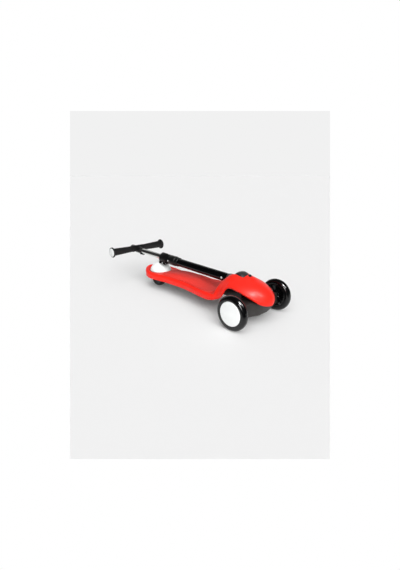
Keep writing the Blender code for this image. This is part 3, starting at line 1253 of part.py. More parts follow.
def clamp_collar():
    """Stepped clamp over the joint of the two tubes, with a split lug below for its skewer."""
    low_bore = LOWER_TUBE_RADIUS + SEAT_GAP
    high_bore = UPPER_TUBE_RADIUS + SEAT_GAP
    step = LOWER_TUBE_END + SEAT_GAP
    lip = 0.0008
    profile = [(high_bore, CLAMP_END), (CLAMP_BAND_RADIUS - 0.0030, CLAMP_END),
               (CLAMP_BAND_RADIUS - 0.0010, CLAMP_END - 0.0010), (CLAMP_BAND_RADIUS, CLAMP_END - 0.0030),
               (CLAMP_BAND_RADIUS, CLAMP_BAND_START), (CLAMP_GROOVE_RADIUS, CLAMP_BAND_START),
               (CLAMP_GROOVE_RADIUS, CLAMP_GROOVE_START), (CLAMP_BODY_RADIUS - lip, CLAMP_GROOVE_START),
               (CLAMP_BODY_RADIUS, CLAMP_GROOVE_START - lip), (CLAMP_BODY_RADIUS, CLAMP_BODY_START + lip),
               (CLAMP_BODY_RADIUS - lip, CLAMP_BODY_START), (CLAMP_LIP_RADIUS, CLAMP_BODY_START - 0.0006),
               (CLAMP_LIP_RADIUS, CLAMP_START + lip), (CLAMP_LIP_RADIUS - lip, CLAMP_START),
               (low_bore, CLAMP_START), (low_bore, step), (high_bore, step)]
    collar = turned("clamp_collar", profile, at(0), column_axis(), black_plastic(), closed=True, steps=ROUND)
    lug = column_block("clamp_lug", LUG_START, LUG_END, -LUG_NEAR, LUG_FAR, -LUG_BOTTOM, -LUG_TOP,
                       chamfer=0.0012)
    keep_out = cylinder(guide("lug_bore"), low_bore, 0.2, at(LOWER_TUBE_END), column_axis(),
                        group=CUTTERS, sides=FINE)
    cut(lug, keep_out)
    join(collar, lug)
    split = column_block(guide("clamp_split"), CLAMP_BAND_START + 0.002, CLAMP_END + 0.01, -CLAMP_SPLIT / 2,
                         CLAMP_SPLIT / 2, -0.03, -UPPER_TUBE_RADIUS + 0.003, group=CUTTERS)
    cut(collar, split)
    skewer = cylinder(guide("skewer_bore"), SKEWER_RADIUS + SEAT_GAP, 0.08, at(SKEWER_AT, 0, -SKEWER_DROP),
                      (0, 1, 0), group=CUTTERS, sides=SMALL)
    cut(collar, skewer)
    hole = cylinder(guide("collar_screw_hole"), 0.0016 + SEAT_GAP, 0.02,
                    at(COLLAR_SCREW_AT, -CLAMP_BODY_RADIUS, 0), (0, 1, 0), group=CUTTERS, sides=TINY)
    trim = cylinder(guide("collar_screw_limit"), LOWER_TUBE_RADIUS + SEAT_GAP / 2, 0.06, at(COLLAR_SCREW_AT),
                    column_axis(), group=CUTTERS, sides=ROUND)
    cut(hole, trim)
    cut(collar, hole)
    return collar


def collar_screw():
    seat = CLAMP_BODY_RADIUS + SEAT_GAP
    end = LOWER_TUBE_RADIUS + 2 * SEAT_GAP
    profile = [(0.0, seat + 0.0018), (0.0022, seat + 0.0015), (0.0030, seat + 0.0004), (0.0030, seat),
               (0.0016, seat), (0.0016, end), (0.0, end)]
    turned("collar_screw", profile, at(COLLAR_SCREW_AT), (0, -1, 0), steel(), steps=TINY)


def lever_pivot_y():
    """Place of the lever's pin beside the lug."""
    return -(LUG_NEAR + SEAT_GAP + LEVER_BARREL_RADIUS)


def clamp_skewer():
    """Rod through the lug with an eye round the lever's pin, and its nut on the far side."""
    pivot = lever_pivot_y()
    end = LUG_FAR + SEAT_GAP + 0.0062
    rod = cylinder("clamp_skewer", SKEWER_RADIUS, end - pivot, at(SKEWER_AT, (end + pivot) / 2, -SKEWER_DROP),
                   (0, 1, 0), steel(), sides=SMALL)
    eye = cylinder("skewer_eye", LEVER_BARREL_RADIUS - 0.0012, SKEWER_EYE_WIDTH,
                   at(SKEWER_AT, pivot, -SKEWER_DROP), column_axis(), sides=ROUND)
    join(rod, eye)
    bore = cylinder(guide("skewer_eye_bore"), LEVER_PIN_RADIUS + SEAT_GAP, 0.03,
                    at(SKEWER_AT, pivot, -SKEWER_DROP), column_axis(), group=CUTTERS, sides=SMALL)
    cut(rod, bore)
    nut("clamp_skewer_nut", at(SKEWER_AT, LUG_FAR + SEAT_GAP, -SKEWER_DROP), (0, 1, 0), SKEWER_RADIUS,
        0.0052, 0.0046)
    return rod


def clamp_lever():
    """Curved lever that lies round the collar: a barrel on the pin and a strip of an arc."""
    pivot = Vector((lever_pivot_y(), -SKEWER_DROP))
    root = math.atan2(-pivot.y, -pivot.x)
    count = 10
    start, end = SKEWER_AT - LEVER_WIDTH / 2, SKEWER_AT + LEVER_WIDTH / 2
    thick = LEVER_RADIUS - LEVER_INNER_RADIUS
    rings = []
    for i in range(count):
        share = i / (count - 1)
        angle = -root + (LEVER_TIP_ANGLE + root) * share
        flare = LEVER_TIP_LIFT * smooth((share - 0.75) / 0.25)
        inner = LEVER_INNER_RADIUS + float(flare)
        outer = inner + thick * (1.0 - 0.35 * float(smooth((share - 0.8) / 0.2)))
        narrow = LEVER_TAPER * float(smooth((share - 0.35) / 0.65))
        y, z = -math.cos(angle), math.sin(angle)
        near, far = start + narrow, end - narrow
        corners = ((near, inner), (near, outer), (far, outer), (far, inner))
        rings.append([tuple(at(along, radius * y, radius * z)) for along, radius in corners])
    lever = lofted("clamp_lever", rings, black_plastic())
    barrel = cylinder("lever_barrel", LEVER_BARREL_RADIUS, LEVER_WIDTH, at(SKEWER_AT, pivot.x, pivot.y),
                      column_axis(), sides=ROUND)
    join(lever, barrel)
    notch = cylinder(guide("lever_notch"), LEVER_BARREL_RADIUS + 0.0030, SKEWER_EYE_WIDTH + 0.0008,
                     at(SKEWER_AT, pivot.x, pivot.y), column_axis(), group=CUTTERS, sides=ROUND)
    cut(lever, notch)
    bore = cylinder(guide("lever_pin_bore"), LEVER_PIN_RADIUS + SEAT_GAP, 0.08,
                    at(SKEWER_AT, pivot.x, pivot.y), column_axis(), group=CUTTERS, sides=SMALL)
    cut(lever, bore)
    room = cylinder(guide("lever_room"), CLAMP_BAND_RADIUS + SEAT_GAP, 0.08, at(SKEWER_AT), column_axis(),
                    group=CUTTERS, sides=FINE)
    cut(lever, room)
    reach = LEVER_WIDTH / 2 - 0.0004
    cylinder("lever_pin", LEVER_PIN_RADIUS, 2 * reach, at(SKEWER_AT, pivot.x, pivot.y), column_axis(),
             steel(), sides=SMALL)
    return lever


def guide_bush():
    end = LOWER_TUBE_END - SEAT_GAP
    start = end - GUIDE_LENGTH
    outer = LOWER_TUBE_RADIUS - LOWER_TUBE_WALL - SEAT_GAP
    inner = UPPER_TUBE_RADIUS + SEAT_GAP
    profile = [(outer, end), (outer, start), (inner, start), (inner, end)]
    turned("guide_bush", profile, at(0), column_axis(), black_plastic(), closed=True, steps=ROUND)


def foot_plug():
    """Plastic foot in the upper tube's end that slides in the lower tube."""
    outer = LOWER_TUBE_RADIUS - LOWER_TUBE_WALL - SEAT_GAP
    inner = UPPER_TUBE_RADIUS - UPPER_TUBE_WALL - SEAT_GAP
    face = UPPER_TUBE_START - SEAT_GAP
    profile = [(0.0, face + 0.014), (inner, face + 0.014), (inner, face), (outer, face),
               (outer, face - 0.012), (0.0, face - 0.012)]
    turned("foot_plug", profile, at(0), column_axis(), black_plastic(), steps=ROUND)


# Handlebar

def bar_place(y=0.0):
    return at(HANDLEBAR_AT, y, HANDLEBAR_OFFSET)


def upper_tube_end():
    return HANDLEBAR_AT - BAR_RADIUS - SEAT_GAP - 0.0006


def t_piece():
    """Moulded T: a sleeve on the column's tube, a sleeve round the bar, a round end behind it
    and a hook below."""
    start = HANDLEBAR_AT - T_FRONT
    end = HANDLEBAR_AT + T_BACK
    bore_end = upper_tube_end() + SEAT_GAP
    profile = [(0.0, end), (T_RADIUS - 0.0070, end - 0.0006), (T_RADIUS - 0.0025, end - 0.0030),
               (T_RADIUS - 0.0005, end - 0.0065), (T_RADIUS, end - 0.0110), (T_RADIUS, start + 0.0008),
               (T_RADIUS - 0.0008, start), (UPPER_TUBE_RADIUS + SEAT_GAP, start),
               (UPPER_TUBE_RADIUS + SEAT_GAP, bore_end), (0.0, bore_end)]
    body = turned("t_piece", profile, at(0), column_axis(), black_plastic(), steps=ROUND)
    half = T_HALF_WIDTH
    profile = [(0.0, half), (T_RADIUS - 0.0012, half), (T_RADIUS, half - 0.0012), (T_RADIUS, -half + 0.0012),
               (T_RADIUS - 0.0012, -half), (0.0, -half)]
    sleeve_y = turned("bar_sleeve", profile, bar_place(), (0, 1, 0), steps=ROUND)
    join(body, sleeve_y)
    root = column_block("hook_root", start + 0.001, start + 0.010, -HOOK_HALF_WIDTH - 0.0005,
                        HOOK_HALF_WIDTH + 0.0005, -HOOK_DEPTH - 0.0005, -T_RADIUS + 0.003)
    join(body, root)
    hook = column_block("hook", start - HOOK_REACH, start + 0.004, -HOOK_HALF_WIDTH, HOOK_HALF_WIDTH,
                        -HOOK_DEPTH, -HOOK_DEPTH + 0.0028, chamfer=0.0005)
    join(body, hook)
    room = cylinder(guide("tube_room"), UPPER_TUBE_RADIUS + 2 * SEAT_GAP, 0.020,
                    at(bore_end - 0.0095), column_axis(), group=CUTTERS)
    cut(body, room)
    bar = cylinder(guide("bar_bore"), BAR_RADIUS + SEAT_GAP, 4 * T_HALF_WIDTH, bar_place(), (0, 1, 0),
                   group=CUTTERS, sides=ROUND)
    cut(body, bar)
    screw = cylinder(guide("t_screw_hole"), 0.0016 + SEAT_GAP, 0.010,
                     at(T_SCREW_AT, -T_RADIUS + 0.001, T_SCREW_RISE), (0, 1, 0), group=CUTTERS, sides=TINY)
    cut(body, screw)
    return body


def t_screw():
    seat = T_RADIUS
    profile = [(0.0, seat + 0.0016), (0.0020, seat + 0.0014), (0.0028, seat + 0.0006),
               (0.0028, seat + SEAT_GAP), (0.0016, seat + SEAT_GAP), (0.0016, seat - 0.0030),
               (0.0, seat - 0.0032)]
    turned("t_screw", profile, at(T_SCREW_AT, 0, T_SCREW_RISE), (0, -1, 0), steel(), steps=TINY)


def t_ring():
    end = HANDLEBAR_AT - T_FRONT - SEAT_GAP
    inner = UPPER_TUBE_RADIUS + SEAT_GAP
    profile = [(T_RING_RADIUS - 0.0005, end), (T_RING_RADIUS, end - 0.0006),
               (T_RING_RADIUS, end - T_RING_WIDTH), (inner, end - T_RING_WIDTH), (inner, end)]
    turned("t_ring", profile, at(0), column_axis(), black_plastic(), closed=True, steps=ROUND)


def handlebar_tube():
    inner = BAR_RADIUS - BAR_WALL
    profile = [(BAR_RADIUS, BAR_HALF_LENGTH), (BAR_RADIUS, -BAR_HALF_LENGTH), (inner, -BAR_HALF_LENGTH),
               (inner, BAR_HALF_LENGTH)]
    turned("handlebar_tube", profile, bar_place(), (0, 1, 0), chrome(), closed=True, steps=ROUND)


def grip(side, label):
    """Rubber grip that widens outwards to a guard flange, and the white cap on its end."""
    out = (0, side, 0)
    bore = BAR_RADIUS + SEAT_GAP
    end = BAR_HALF_LENGTH + GRIP_PAST_BAR
    flange = end - FLANGE_WIDTH
    profile = [(FLANGE_RADIUS - 0.0015, end), (FLANGE_RADIUS, end - 0.0015), (FLANGE_RADIUS, flange + 0.0015),
               (FLANGE_RADIUS - 0.0012, flange), (GRIP_OUTER_RADIUS + 0.0010, flange - 0.0006),
               (GRIP_OUTER_RADIUS, flange - 0.004), (GRIP_INNER_RADIUS, GRIP_START + 0.0015),
               (GRIP_INNER_RADIUS - 0.0012, GRIP_START), (bore, GRIP_START), (bore, end)]
    turned(f"grip_{label}", profile, bar_place(), out, rubber(), closed=True, steps=ROUND)
    seat = end + SEAT_GAP
    plug = BAR_RADIUS - BAR_WALL - SEAT_GAP
    profile = [(0.0, seat + END_CAP_CROWN), (END_CAP_RADIUS * 0.5, seat + END_CAP_CROWN * 0.80),
               (END_CAP_RADIUS * 0.85, seat + END_CAP_CROWN * 0.40), (END_CAP_RADIUS, seat + 0.0006),
               (END_CAP_RADIUS, seat), (plug, seat), (plug, seat - 0.012), (0.0, seat - 0.012)]
    turned(f"end_cap_{label}", profile, bar_place(), out, white_plastic(), steps=ROUND)


def pivot(name, matrix, members):
    """An empty on a joint's axis that carries the pieces made with it."""
    empty = bpy.data.objects.new(name, None)
    empty.empty_display_size = 0.02
    collection(PARTS).objects.link(empty)
    empty.matrix_world = matrix
    for obj in members:
        if obj.parent is None:
            obj.parent = empty
            obj.matrix_parent_inverse = matrix.inverted()
    return empty


def made_by(*builders):
    """Runs builders and returns the objects that they add."""
    before = set(bpy.data.objects)
    for builder in builders:
        builder()
    bpy.context.view_layer.update()
    return [obj for obj in bpy.data.objects if obj not in before]


def build():
    clear_scene()
    shell = deck_shell()
    footboard_pad()
    bracket = front_bracket()
    bracket_screws(bracket)
    hinge_pin()
    kingpin()
    carrier = rear_carrier()
    carrier_screws(carrier)
    rear_axle()
    brake_pin()
    coil = BRAKE_PIN_RADIUS + SEAT_GAP
    sleeve("brake_spring", brake_pin_place(), (0, 1, 0), coil, coil + SPRING_WIRE,
           2 * (BRAKE_ARM_Y - SEAT_GAP) - BRAKE_ARM_WIDTH, steps=TINY)
    button = made_by(release_button)
    spring = bpy.data.objects["release_spring"]
    pivot("button_slide", Matrix.Translation((FRONT_AXLE.x + BUTTON_X, 0, BUTTON_TOP)),
          [obj for obj in button if obj is not spring])
    truck = made_by(truck_beam)
    truck_pivot = pivot("truck_pivot", Matrix.Translation(kingpin_point(0)), truck)
    for side, label in ((1, "left"), (-1, "right")):
        wheel = made_by(lambda: front_wheel(side, label))
        bolt = bpy.data.objects[f"axle_bolt_{label}"]
        wheel.remove(bolt)
        hub = Matrix.Translation(FRONT_AXLE + Vector((0, side * TRACK / 2, 0)))
        axle = pivot(f"wheel_axle_{label}", hub, wheel)
        for obj in (axle, bolt):
            obj.parent = truck_pivot
            obj.matrix_parent_inverse = truck_pivot.matrix_world.inverted()
    pivot("rear_wheel_axle", Matrix.Translation(REAR_AXLE), made_by(rear_wheel))
    pivot("brake_pivot", Matrix.Translation(brake_pin_place()), made_by(brake_fender, brake_shoe))
    lower = made_by(knuckle, lower_tube, knuckle_bolt, guide_bush, clamp_collar, clamp_skewer, collar_screw)
    fold = pivot("fold_hinge", column_frame(), lower)
    lever = made_by(clamp_lever)
    lever_place = Matrix.Translation(at(SKEWER_AT, lever_pivot_y(), -SKEWER_DROP))
    lever_pivot = pivot("lever_pivot", lever_place @ column_frame().to_3x3().to_4x4(), lever)
    upper = made_by(upper_tube, foot_plug, t_piece, t_screw, t_ring, handlebar_tube,
                    lambda: grip(1, "left"), lambda: grip(-1, "right"))
    slide_place = Matrix.Translation(at(LOWER_TUBE_END)) @ column_frame().to_3x3().to_4x4()
    slide = pivot("height_slide", slide_place, upper)
    for obj in (lever_pivot, slide):
        obj.parent = fold
        obj.matrix_parent_inverse = fold.matrix_world.inverted()
    bpy.context.view_layer.update()
    return shell


build()
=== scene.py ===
"""Looks of the folded three-wheel kick scooter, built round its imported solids. Metres, +X
forwards along the deck, +Y to the rider's left, +Z up, with the floor at zero. Lengthwise
places of the deck and the hood are measured from the front axle."""

import json
import math

import bmesh
import bpy
import numpy as np
from mathutils import Matrix, Vector


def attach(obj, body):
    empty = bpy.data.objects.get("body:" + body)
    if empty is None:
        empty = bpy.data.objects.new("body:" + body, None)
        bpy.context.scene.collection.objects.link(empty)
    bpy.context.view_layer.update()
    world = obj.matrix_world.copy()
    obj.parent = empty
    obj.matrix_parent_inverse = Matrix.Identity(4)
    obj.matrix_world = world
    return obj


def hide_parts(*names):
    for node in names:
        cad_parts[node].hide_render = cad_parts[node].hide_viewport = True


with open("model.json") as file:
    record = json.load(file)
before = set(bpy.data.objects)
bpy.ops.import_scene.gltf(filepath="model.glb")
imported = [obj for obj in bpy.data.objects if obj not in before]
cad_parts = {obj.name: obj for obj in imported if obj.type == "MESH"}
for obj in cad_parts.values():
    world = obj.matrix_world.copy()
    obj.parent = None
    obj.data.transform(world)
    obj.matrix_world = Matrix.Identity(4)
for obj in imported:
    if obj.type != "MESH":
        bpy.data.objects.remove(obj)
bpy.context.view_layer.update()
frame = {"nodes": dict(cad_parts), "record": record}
SLOTS = {entry["node"]: entry["material_slot"] for entry in frame["record"]["subparts"]}

# Facets of the pieces that show
TURN = 96
TURN_SMALL = 40
CROWN = 44
ROLL = 10

# Main places
SEAT_GAP = 0.0003
RUNNING_GAP = 0.0012
FRONT_AXLE = Vector((0.338417, 0.0, 0.060))
REAR_AXLE = Vector((-0.200083, 0.0, 0.040))
HINGE = Vector((0.272417, 0.0, 0.1345))
COLUMN_DROP = 0.0132
FOLD_SLOPE = math.radians(2.01)
TRACK = 0.2534

# Deck and hood
EDGE_HEIGHT = 0.052
FLOOR_HEIGHT = 0.0745
RIM_RISE = 0.0035
RIM_WIDTH = 0.017
SKIN = 0.0032
TAIL_MID = -0.505
TAIL_LENGTH = 0.093
TAIL_HALF_WIDTH = 0.068
TAIL_KICK = 0.0075
CROWN_RISE = 0.0160         # of the middle of the standing surface above its rim
CROWN_BACK = -0.530
CROWN_FULL = -0.360
CROWN_LEVEL_END = -0.300
CROWN_FRONT = -0.205
CROWN_LEVEL_HALF = 0.0140
CROWN_POWER = 4.0
SOLID_BACK = -0.405
SOLID_FADE = 0.030
WAIST_REAR = -0.415
WAIST_FRONT = -0.330
WAIST_HALF_WIDTH = 0.0595
FLARE_MID = -0.155
FLARE_HALF_WIDTH = 0.082
HOOD_MID = -0.067
HOOD_NOSE = 0.065
HOOD_TAIL = -0.151
HOOD_HALF_WIDTH = 0.0855
HOOD_BASE = 0.076
HOOD_TOP = 0.147
ARCH_START = -0.168
ARCH_TOP_START = -0.060
ARCH_TOP_END = -0.056
ARCH_TOP = 0.1150
NOSE_EDGE = 0.0685
ARCH_SHAPE = ((0.0, 0.0), (0.24, 0.049), (0.46, 0.162), (0.60, 0.270), (0.72, 0.440),
              (0.78, 0.575), (0.81, 0.71), (0.845, 0.885), (0.90, 0.968), (1.0, 1.0))
NOSE_SHAPE = ((0.0, 0.0), (0.16, 0.062), (0.33, 0.168), (0.48, 0.308), (0.63, 0.467),
              (0.75, 0.649), (0.855, 0.828), (0.94, 0.946), (1.0, 1.0))
SIDE_ROLL = 0.0110
TIP_ANGLE = 0.06
DECK_ROLL = 0.0090
HOOD_ROLL = 0.0030
WALL_DRAFT = 0.0015
HEM_DRAFT = 0.0030          # lean of the hood's hem, which shows as a darker band
OPEN_BELOW = 0.0100
HEM = 0.0055
CHEEK_RISE = 0.0100
CHEEK_MID = -0.083
CHEEK_RUN = 0.047
CHEEK_SIDE = 0.026
CHEEK_SPREAD = 0.030
COLLAR_RISE = 0.0085
COLLAR_MID = -0.034
COLLAR_RUN = 0.034
COLLAR_SPREAD = 0.040
SLOT_HALF_WIDTH = 0.0225
SLOT_FLOOR = 0.098
SLOT_FRONT = -0.0400
SLOT_BACK = -0.175
RIB_WALL = 0.0026
RIB_PITCH = 0.044
RIB_DEPTH = 0.0150
RIB_START = -0.395
RIB_END = -0.202
RAIL_DEPTH = 0.0130
RAIL_BACK = -0.422
RAIL_FRONT = -0.197
PAD_THICKNESS = 0.0016
PAD_BACK = -0.464
PAD_FRONT = -0.150
PAD_MARGIN = 0.0110
PAD_BACK_ROUND = 0.022
PAD_FRONT_ROUND = 0.050
PAD_FRONT_FULL = 3.0        # 2 would be an ellipse, and more is squarer
PAD_EDGE = 0.0008
HULL_FADE = 0.040
HULL_LEAD = 0.012
HULL_LAG = 0.012            # the hood's rear face starts later, and is steeper, than its share
HULL_WRAP = 0.018           # and more so towards the sides
HULL_WRAP_HALF = 0.078
EGG_START = -0.135
EGG_END = -0.085
BUTTON_X = -0.0300
BUTTON_RADIUS = 0.0058

# Wheels
FRONT_WHEEL_RADIUS = 0.060
FRONT_WHEEL_WIDTH = 0.025
FRONT_TYRE_DEPTH = 0.0175
REAR_WHEEL_RADIUS = 0.040
REAR_WHEEL_WIDTH = 0.029
REAR_TYRE_DEPTH = 0.012
SHOULDER_DROP = 0.0135
REAR_SHOULDER_SHARE = 0.8
TREAD_SQUARENESS = 0.92
TREAD_FULLNESS = 0.75
SPOKE_COUNT = 10
SPOKE_THICK = 0.0034
SPOKE_FLARE = 0.75
SPOKE_DIP = 0.18            # share of its depth by which a spoke's back is lower at its middle
HUB_RADIUS = 0.0145
BEARING_RADIUS = 0.0110
BEARING_WIDTH = 0.0065
CAP_THICKNESS = 0.0018
CAP_CROWN = 0.0022
CAP_SEAT = 0.0040
POCKET_DEPTH = 0.0085
WEB = 0.0030

# Brake dome
DOME_MID = -0.5223
DOME_HALF_LENGTH = 0.0488
DOME_HALF_WIDTH = 0.0448
DOME_BASE = 0.0770
DOME_TOP = 0.1200
DOME_WALL = 0.0026
DOME_SKIRT = 0.0015
DOME_BULGE = 1.6
DOME_ROUND = 1.4
POST_BACK = -0.537
POST_FRONT = -0.523
POST_HALF_WIDTH = 0.006
POST_LOW = 0.0933
BRAKE_ARM_BACK = -0.486
BRAKE_ARM_FRONT = -0.479
BRAKE_ARM_LOW = 0.0672
BRAKE_ARM_SIDE = 0.014
BRAKE_ARM_HALF = 0.0017
BRIDGE_BACK = -0.487
BRIDGE_FRONT = -0.4775
BRIDGE_HALF_WIDTH = 0.0155
PIN_BORE_AT = -0.4825
PIN_BORE_HEIGHT = 0.0715
PIN_BORE_RADIUS = 0.0028

# Column and handlebar
KNUCKLE_SHOULDER = 0.059
LOWER_TUBE_RADIUS = 0.0165
LOWER_TUBE_WALL = 0.0020
LOWER_TUBE_END = 0.412
UPPER_TUBE_RADIUS = 0.0113
UPPER_TUBE_WALL = 0.0015
UPPER_TUBE_START = 0.262
HANDLEBAR_AT = 0.6263
HANDLEBAR_OFFSET = 0.0055
BAR_RADIUS = 0.0105
GRIP_START = 0.0330
GRIP_LENGTH = 0.1070
GRIP_INNER_RADIUS = 0.0135
GRIP_OUTER_RADIUS = 0.0165
FLANGE_RADIUS = 0.0230
FLANGE_WIDTH = 0.0060
END_CAP_RADIUS = 0.0190
END_CAP_CROWN = 0.0030
PLUG_RADIUS = 0.0086
PLUG_LENGTH = 0.012


# Colours and materials

def linear(colour):
    """An sRGB hex colour as linear red, green, blue and alpha."""
    share = np.array([int(colour[i:i + 2], 16) / 255 for i in (1, 3, 5)])
    value = np.where(share <= 0.04045, share / 12.92, ((share + 0.055) / 1.055) ** 2.4)
    return (*value.tolist(), 1.0)


def add_node(tree, kind, settings=(), links=()):
    """One node with its settings (attributes, or inputs by name) and its incoming links."""
    made = tree.nodes.new("ShaderNode" + kind)
    for key, value in dict(settings).items():
        if isinstance(key, str) and hasattr(made, key):
            setattr(made, key, value)
        else:
            made.inputs[key].default_value = value
    for key, source in dict(links).items():
        tree.links.new(made.inputs[key], source)
    return made


def surface_material(name, **settings):
    """A Principled material, with its shader and its node tree."""
    made = bpy.data.materials.new(name)
    made.use_nodes = True
    shader = made.node_tree.nodes["Principled BSDF"]
    for key, value in settings.items():
        shader.inputs[key.replace("_", " ")].default_value = value
    return made, shader, made.node_tree


def grained(name, colour, roughness, grain_mm, bump_mm, spread=0.03, tint=0.02, metallic=0.0,
            **settings):
    """A moulded or finished surface: noise of grain_mm gives a height of bump_mm, a slow noise
    shifts the colour by tint, and the roughness wanders by spread."""
    made, shader, tree = surface_material(name, Metallic=metallic, **settings)
    place = add_node(tree, "TexCoord")
    fine = add_node(tree, "TexNoise", {"Scale": 1.0 / (grain_mm * 0.001), "Detail": 2.0},
                    {"Vector": place.outputs["Object"]})
    slow = add_node(tree, "TexNoise", {"Scale": 28.0, "Detail": 3.0},
                    {"Vector": place.outputs["Object"]})
    tone = add_node(tree, "ValToRGB", {}, {"Fac": slow.outputs["Fac"]})
    base = np.array(linear(colour))
    for stop, share in zip(tone.color_ramp.elements, (1 - tint, 1 + tint)):
        stop.color = np.clip(base * share, 0, 1).tolist()[:3] + [1.0]
    tone.color_ramp.elements[0].position = 0.3
    tone.color_ramp.elements[1].position = 0.7
    wander = add_node(tree, "MapRange", {"To Min": roughness - spread, "To Max": roughness + spread},
                      {"Value": slow.outputs["Fac"]})
    bump = add_node(tree, "Bump", {"Strength": 1.0, "Distance": bump_mm * 0.001},
                    {"Height": fine.outputs["Fac"]})
    tree.links.new(shader.inputs["Base Color"], tone.outputs["Color"])
    tree.links.new(shader.inputs["Roughness"], wander.outputs["Result"])
    tree.links.new(shader.inputs["Normal"], bump.outputs["Normal"])
    return made


def pad_material():
    """ABS with a moulded anti-slip texture: close rows of small raised dots, painted lighter on their
    tops as a painted highlight and darker between them as painted shade."""
    made, shader, tree = surface_material("abs_textured_red", Roughness=0.62)
    place = add_node(tree, "TexCoord")
    dots = add_node(tree, "TexVoronoi", {"Scale": 1.0 / 0.0030, "Randomness": 0.25},
                    {"Vector": place.outputs["Object"]})
    fine = add_node(tree, "TexNoise", {"Scale": 1.0 / 0.0016, "Detail": 2.0},
                    {"Vector": place.outputs["Object"]})
    # Painted highlight on the tops of the dots and painted shade between them
    tone = add_node(tree, "ValToRGB", {}, {"Fac": dots.outputs["Distance"]})
    tone.color_ramp.elements[0].color = linear("#F43428")
    tone.color_ramp.elements[1].color = linear("#EA2E24")
    tone.color_ramp.elements[0].position = 0.15
    tone.color_ramp.elements[1].position = 0.75
    mottled = add_node(tree, "Mix", {"data_type": "RGBA", "blend_type": "MULTIPLY", 0: 0.12},
                       {6: tone.outputs["Color"], 7: fine.outputs["Color"]})
    bump = add_node(tree, "Bump", {"Strength": 1.0, "Distance": 0.0005, "invert": True},
                    {"Height": dots.outputs["Distance"]})
    tree.links.new(shader.inputs["Base Color"], mottled.outputs[2])
    tree.links.new(shader.inputs["Normal"], bump.outputs["Normal"])
    return made


def calm_bounce(made, share):
    """The material throws only a grey share of its colour onto its surroundings."""
    tree = made.node_tree
    socket = tree.nodes["Principled BSDF"].inputs["Base Color"]
    path = add_node(tree, "LightPath")
    part = add_node(tree, "Math", {"operation": "MULTIPLY", 1: share},
                    {0: path.outputs["Is Diffuse Ray"]})
    mixed = add_node(tree, "Mix", {"data_type": "RGBA", 7: linear("#3C3636")},
                     {0: part.outputs[0], 6: socket.links[0].from_socket})
    tree.links.new(socket, mixed.outputs[2])
    return made


# Glossy ABS, injection moulded: a deep clean red with a soft highlight
RED = grained("abs_gloss_red", "#F22A1E", 0.34, 2.2, 0.006, tint=0.02, Specular_IOR_Level=0.16)
calm_bounce(RED, 0.9)
PAD = calm_bounce(pad_material(), 0.9)
# White ABS of the brake's dome: bright and softly glossy
WHITE = grained("abs_satin_white", "#F2F4F3", 0.38, 2.0, 0.005, tint=0.03)
# The same white on the wheel caps and the bar's end caps, painted darker as painted shade, the end caps
# more so
CAP = grained("abs_satin_white_painted_shade_wheel_cap", "#E9EBEA", 0.42, 2.0, 0.005, tint=0.04)
END_CAP = grained("abs_satin_white_painted_shade_end_cap", "#D9DBDA", 0.42, 2.0, 0.005, tint=0.03)
# Glass-filled nylon of the joints and brackets, spark-eroded mould: black with a dull sheen
NYLON = grained("nylon_textured_black", "#0B0B0C", 0.38, 0.9, 0.03, tint=0.15,
                Specular_IOR_Level=0.35)
# Polished nylon of the wheel cores, which shows small sharp glints
CORE = grained("nylon_polished_black", "#060607", 0.14, 3.0, 0.006, tint=0.1, spread=0.02)
# Cast polyurethane of the tyres, skinned and glossy
URETHANE = grained("urethane_cast_black", "#060607", 0.15, 4.0, 0.010, tint=0.15, spread=0.04)
# Powder-coated steel of the lower tube
PAINT = grained("powder_coat_gloss_black", "#040405", 0.16, 1.6, 0.006, tint=0.2,
                Specular_IOR_Level=0.30)
# Thermoplastic rubber of the grips, with a fine leathery grain
GRIP = grained("rubber_grained_black", "#0D0D0E", 0.55, 0.8, 0.06, tint=0.25, Specular_IOR_Level=0.4)
# The same nylon on the steering beam, painted a lighter warm dark grey as painted light from the floor
# below
BEAM = grained("nylon_black_painted_lit_warm", "#23201E", 0.44, 1.1, 0.03, tint=0.2)
# Moulded rubber of the steering cones and the brake's shoe: black and nearly matt
RUBBER = grained("rubber_moulded_black", "#141415", 0.75, 1.2, 0.03, tint=0.2)
# Chromium plate over polished steel tube
CHROME = grained("chrome_plated_steel", "#DEDFDC", 0.07, 3.0, 0.002, tint=0.02, spread=0.02,
                 metallic=1.0)
# Bright zinc plate on bolts, nuts and pins
ZINC = grained("zinc_plated_steel_bright", "#E4E6E6", 0.30, 0.7, 0.008, tint=0.08, metallic=0.3)
# Satin grey nylon of the folding knuckle's cover
KNOB = grained("nylon_satin_grey", "#2C2C2E", 0.36, 1.4, 0.02, tint=0.12)


# Surfaces

def piece(name, verts, faces, look, body, sharp=35.0, slot=None, replaces=()):
    """A mesh from whole arrays of points and faces: doubles merged, faces turned outwards."""
    mesh = bpy.data.meshes.new(name)
    mesh.from_pydata(np.asarray(verts).tolist(), [], faces)
    obj = bpy.data.objects.new(name, mesh)
    bpy.context.scene.collection.objects.link(obj)
    mesh.materials.append(look)
    clean(mesh, sharp)
    if body:
        settle(obj, body, replaces)
    return obj


def clean(mesh, sharp):
    """Doubles and slivers go, faces turn outwards, and edges over an angle are kept sharp."""
    bm = bmesh.new()
    bm.from_mesh(mesh)
    bmesh.ops.remove_doubles(bm, verts=bm.verts, dist=0.000003)
    bmesh.ops.dissolve_degenerate(bm, edges=bm.edges, dist=0.000001)
    bmesh.ops.recalc_face_normals(bm, faces=bm.faces)
    bm.to_mesh(mesh)
    bm.free()
    mesh.shade_smooth()
    mesh.set_sharp_from_angle(angle=math.radians(sharp))


def settle(obj, body, replaces):
    """The piece rides on its body and stands for its nodes."""
    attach(obj, body)
    if replaces:
        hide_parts(*replaces)
    return obj


